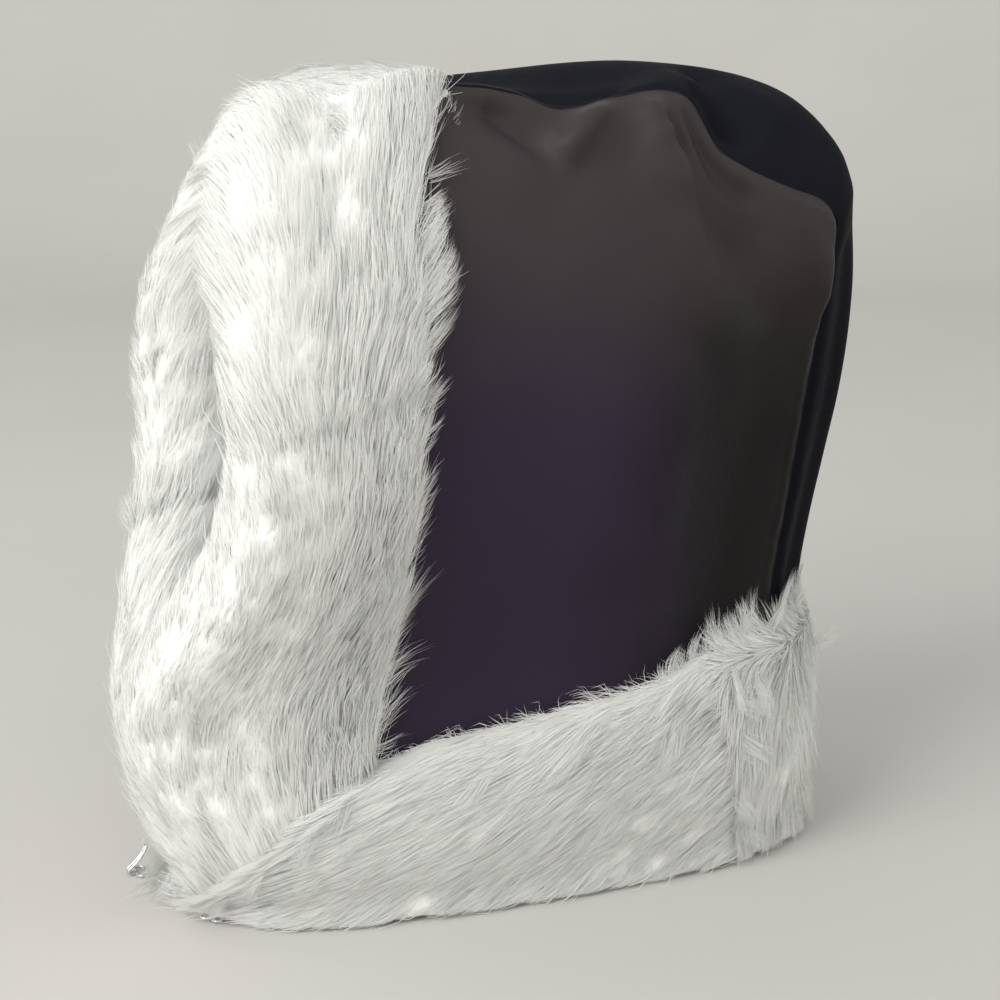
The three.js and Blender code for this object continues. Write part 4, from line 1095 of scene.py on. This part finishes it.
# Each strip's piece and node, sections, number of hairs, tufts, lie, and what isn't plain about it
PLAIN = {"edge": straight_edge, "puff": not_fluffed, "stand": not_fluffed}
FUR = [
    ("fur_arch", "face_fur_arch", arch_rows, 36000, ARCH_TUFTS, up_and_over,
     {"edge": arch_edge, "puff": puffed_arch, "stand": fluffed_front}),
    ("fur_face_left", "face_fur_left", lower_face_rows(1, NEAR_FACE_JOIN, 12), 34500, FACE_LEFT_TUFTS,
     up_the_face, {"edge": lower_edge, "puff": puffed_near}),
    ("fur_face_right", "face_fur_right", lower_face_rows(-1, FAR_FACE_JOIN, 9), 18000, FACE_RIGHT_TUFTS,
     up_the_face, {"puff": puffed_far}),
    ("fur_neck_left", "neck_fur_left", neck_rows(1, 12), 35000, NECK_LEFT_TUFTS, to_the_throat, {}),
    ("fur_neck_back", "neck_fur_back", nape_rows, 25000, NECK_BACK_TUFTS, down_the_nape, {}),
    ("fur_neck_right", "neck_fur_right", neck_rows(-1, 12), 13000, NECK_RIGHT_TUFTS, to_the_throat, {}),
]

for seed, (piece_name, node_name, rows, count, tufts, flow, own) in enumerate(FUR, 100):
    spec = {**PLAIN, **own, "count": count, "tufts": tufts, "flow": flow}
    rng = np.random.default_rng(seed)
    strip = Strip(rows, spec["puff"])
    r, t, paths, fine = grow_hair(strip, spec, rng)
    hair_points, hair_faces, along, hair_normals = ribbons(strip, r, t, paths, HAIR_WIDTH * fine, rng)
    coat_points, coat_faces, coat_normals = coat(strip, spec["edge"])
    points = np.concatenate([hair_points, coat_points])
    kinds = np.concatenate([np.zeros(len(hair_faces)), np.ones(len(coat_faces))])
    fur = new_object(piece_name, points, [hair_faces, coat_faces + len(hair_points)], kinds)
    tone = np.repeat(rng.random(len(r)), len(along) // len(r))
    add_attribute(fur, "along", np.concatenate([along, np.full(len(coat_points), 0.2)]))
    add_attribute(fur, "tone", np.concatenate([tone, np.full(len(coat_points), 0.5)]))
    fur.data.materials.append(white_hair)
    fur.data.materials.append(white_coat)
    normals = unit(np.concatenate([hair_normals, coat_normals]))
    fur.data.normals_split_custom_set_from_vertices(normals.astype(np.float32))
    finish_piece(fur, "fur", node_name)


# hook and eye
WIRE = 1.3
HOOK_PLACE, EYE_PLACE = (-30, -173, 0.2), (31, -157, 0.4)
HOOK_HALF = [
    (0.7, -3.6, 12.6), (1, -2.6, 10.6), (1.1, -0.4, 7.4), (1.2, 2.4, 4.6), (1.2, 4.6, 2.9), (1.2, 4.9, 1.3),
    (1.3, 3, 0.8), (1.7, 1, 0.8), (3.4, 1.6, 0.8), (5.4, 0.4, 0.8), (5.5, -2.2, 0.8), (3.7, -3.4, 0.8),
    (2, -2.2, 0.8),
]
EYE_HALF = [
    (0.6, 5.2, 1.6), (1.9, 4.6, 1.6), (2.5, 3, 1.4), (2, 0.8, 1), (3.4, 1.4, 0.8), (5.4, 0.4, 0.8),
    (5.5, -2, 0.8), (3.7, -3.2, 0.8), (2, -2.1, 0.8),
]


def wire_piece(name, spot, half, node_name, sides=10, samples=150):
    """A bent wire: half of its line, as steps aside, forwards and up from its spot, and the mirror."""
    centre = np.array(spot, float)
    one = [centre + (-a, -f, z) for a, f, z in reversed(half)]
    other = [centre + (a, -f, z) for a, f, z in half]
    line = Line(one + other).at(np.linspace(0, 1, samples))
    tangent = unit(np.gradient(line, axis=0))
    frame_side = unit(np.cross(tangent[0], [0.3, 0.2, 1.0]))
    angles = np.arange(sides) / sides * 2 * np.pi
    rings = []
    for p, d in zip(line, tangent):
        frame_side = unit(frame_side - d * (frame_side * d).sum())
        other_side = np.cross(d, frame_side)
        ring = np.cos(angles)[:, None] * frame_side + np.sin(angles)[:, None] * other_side
        rings.append(p + WIRE / 2 * ring)
    rings = np.array(rings)
    points = np.concatenate([rings.reshape(-1, 3), line[:1], line[-1:]])
    a = np.arange((samples - 1) * sides)
    b = a - a % sides + (a + 1) % sides
    quads = np.stack([a, b, b + sides, a + sides], -1)
    ring, after, tip, end = a[:sides], b[:sides], samples * sides, (samples - 1) * sides
    first = np.stack([after, ring, np.full(sides, tip)], -1)
    last = np.stack([end + ring, end + after, np.full(sides, tip + 1)], -1)
    obj = new_object(name, points, [quads, np.concatenate([first, last])])
    obj.data.materials.append(plated_wire)
    finish_piece(obj, "wire", node_name)


wire_piece("wire_hook", HOOK_PLACE, HOOK_HALF, "hook")
wire_piece("wire_eye", EYE_PLACE, EYE_HALF, "eye")


# floor, light and camera
AZIMUTH, ELEVATION = math.radians(65), math.radians(12)
DISTANCE, LENS, SHIFT_X, SHIFT_Y = 0.95, 75.24, -0.015, -0.038
TARGET = Vector((0, CENTRE_OFFSET_Y * MM, 0.180))
away = Vector((-math.sin(AZIMUTH), math.cos(AZIMUTH), 0))
right = Vector((math.cos(AZIMUTH), math.sin(AZIMUTH), 0))
up = Vector((0, 0, 1))
back = up * math.sin(ELEVATION) - away * math.cos(ELEVATION)  # from the target to the camera

# A floor that curves up behind the hood, in metres
SWEEP_START, SWEEP_RADIUS, SWEEP_TOP, SWEEP_HALF, SWEEP_FRONT = 1.9, 1.2, 4.0, 6.0, -6.0
bend = [
    (SWEEP_START + SWEEP_RADIUS * math.sin(a), SWEEP_RADIUS * (1 - math.cos(a)))
    for a in np.linspace(0, math.pi / 2, 25)
]
profile = [(SWEEP_FRONT, 0.0), *bend, (SWEEP_START + SWEEP_RADIUS, SWEEP_TOP)]
sweep_points = [away * d + up * h + right * side for d, h in profile for side in (-SWEEP_HALF, SWEEP_HALF)]
sweep_faces = [(2 * i, 2 * i + 1, 2 * i + 3, 2 * i + 2) for i in range(len(profile) - 1)]
floor_mesh = bpy.data.meshes.new("floor")
floor_mesh.from_pydata(sweep_points, [], sweep_faces)
floor_mesh.polygons.foreach_set("use_smooth", [True] * len(sweep_faces))
floor_look, floor_tree, floor_bsdf = material("pale_floor")
floor_tone = noise(floor_tree, place(floor_tree), 3.0, 2.0)
set_inputs(floor_tree, floor_bsdf, {
    "Base Color": ramp(floor_tree, floor_tone, [(0.3, (0.55, 0.54, 0.52)), (0.7, (0.57, 0.56, 0.54))]),
    "Roughness": 0.9,
    "Specular IOR Level": 0.1,
})
floor_mesh.materials.append(floor_look)
floor = in_scene("floor", floor_mesh)

camera_data = bpy.data.cameras.new("camera")
camera_data.sensor_width = 36
camera_data.lens = LENS
camera_data.shift_x = SHIFT_X
camera_data.shift_y = SHIFT_Y
bpy.context.scene.camera = aimed("camera", camera_data, TARGET + back * DISTANCE, -back)

KEY_PLACE = TARGET - right * 1.6 + back * 1.75 + up * 1.15
KEY_SIZE, KEY_POWER = 1.6, 52
key_data = bpy.data.lights.new("key", "AREA")
key_data.shape = "SQUARE"
key_data.size = KEY_SIZE
key_data.energy = KEY_POWER
key_data.color = (1.0, 0.99, 0.965)
aimed("key", key_data, KEY_PLACE, TARGET - KEY_PLACE)

SKY_LOW, SKY_HIGH = 1.26, 0.72  # strength near the horizon and overhead
world = bpy.data.worlds.new("studio")
world.use_nodes = True
sky_tree = world.node_tree
sky_way = node(sky_tree, "TexCoord").outputs["Generated"]
sky_height = node(sky_tree, "SeparateXYZ", {"Vector": sky_way}).outputs["Z"]
set_inputs(sky_tree, sky_tree.nodes["Background"], {
    "Color": (1.0, 0.995, 0.965, 1),
    "Strength": carried(sky_tree, sky_height, (0.1, 0.9), (SKY_LOW, SKY_HIGH)),
})
bpy.context.scene.world = world
bpy.context.scene.view_settings.view_transform = "Standard"
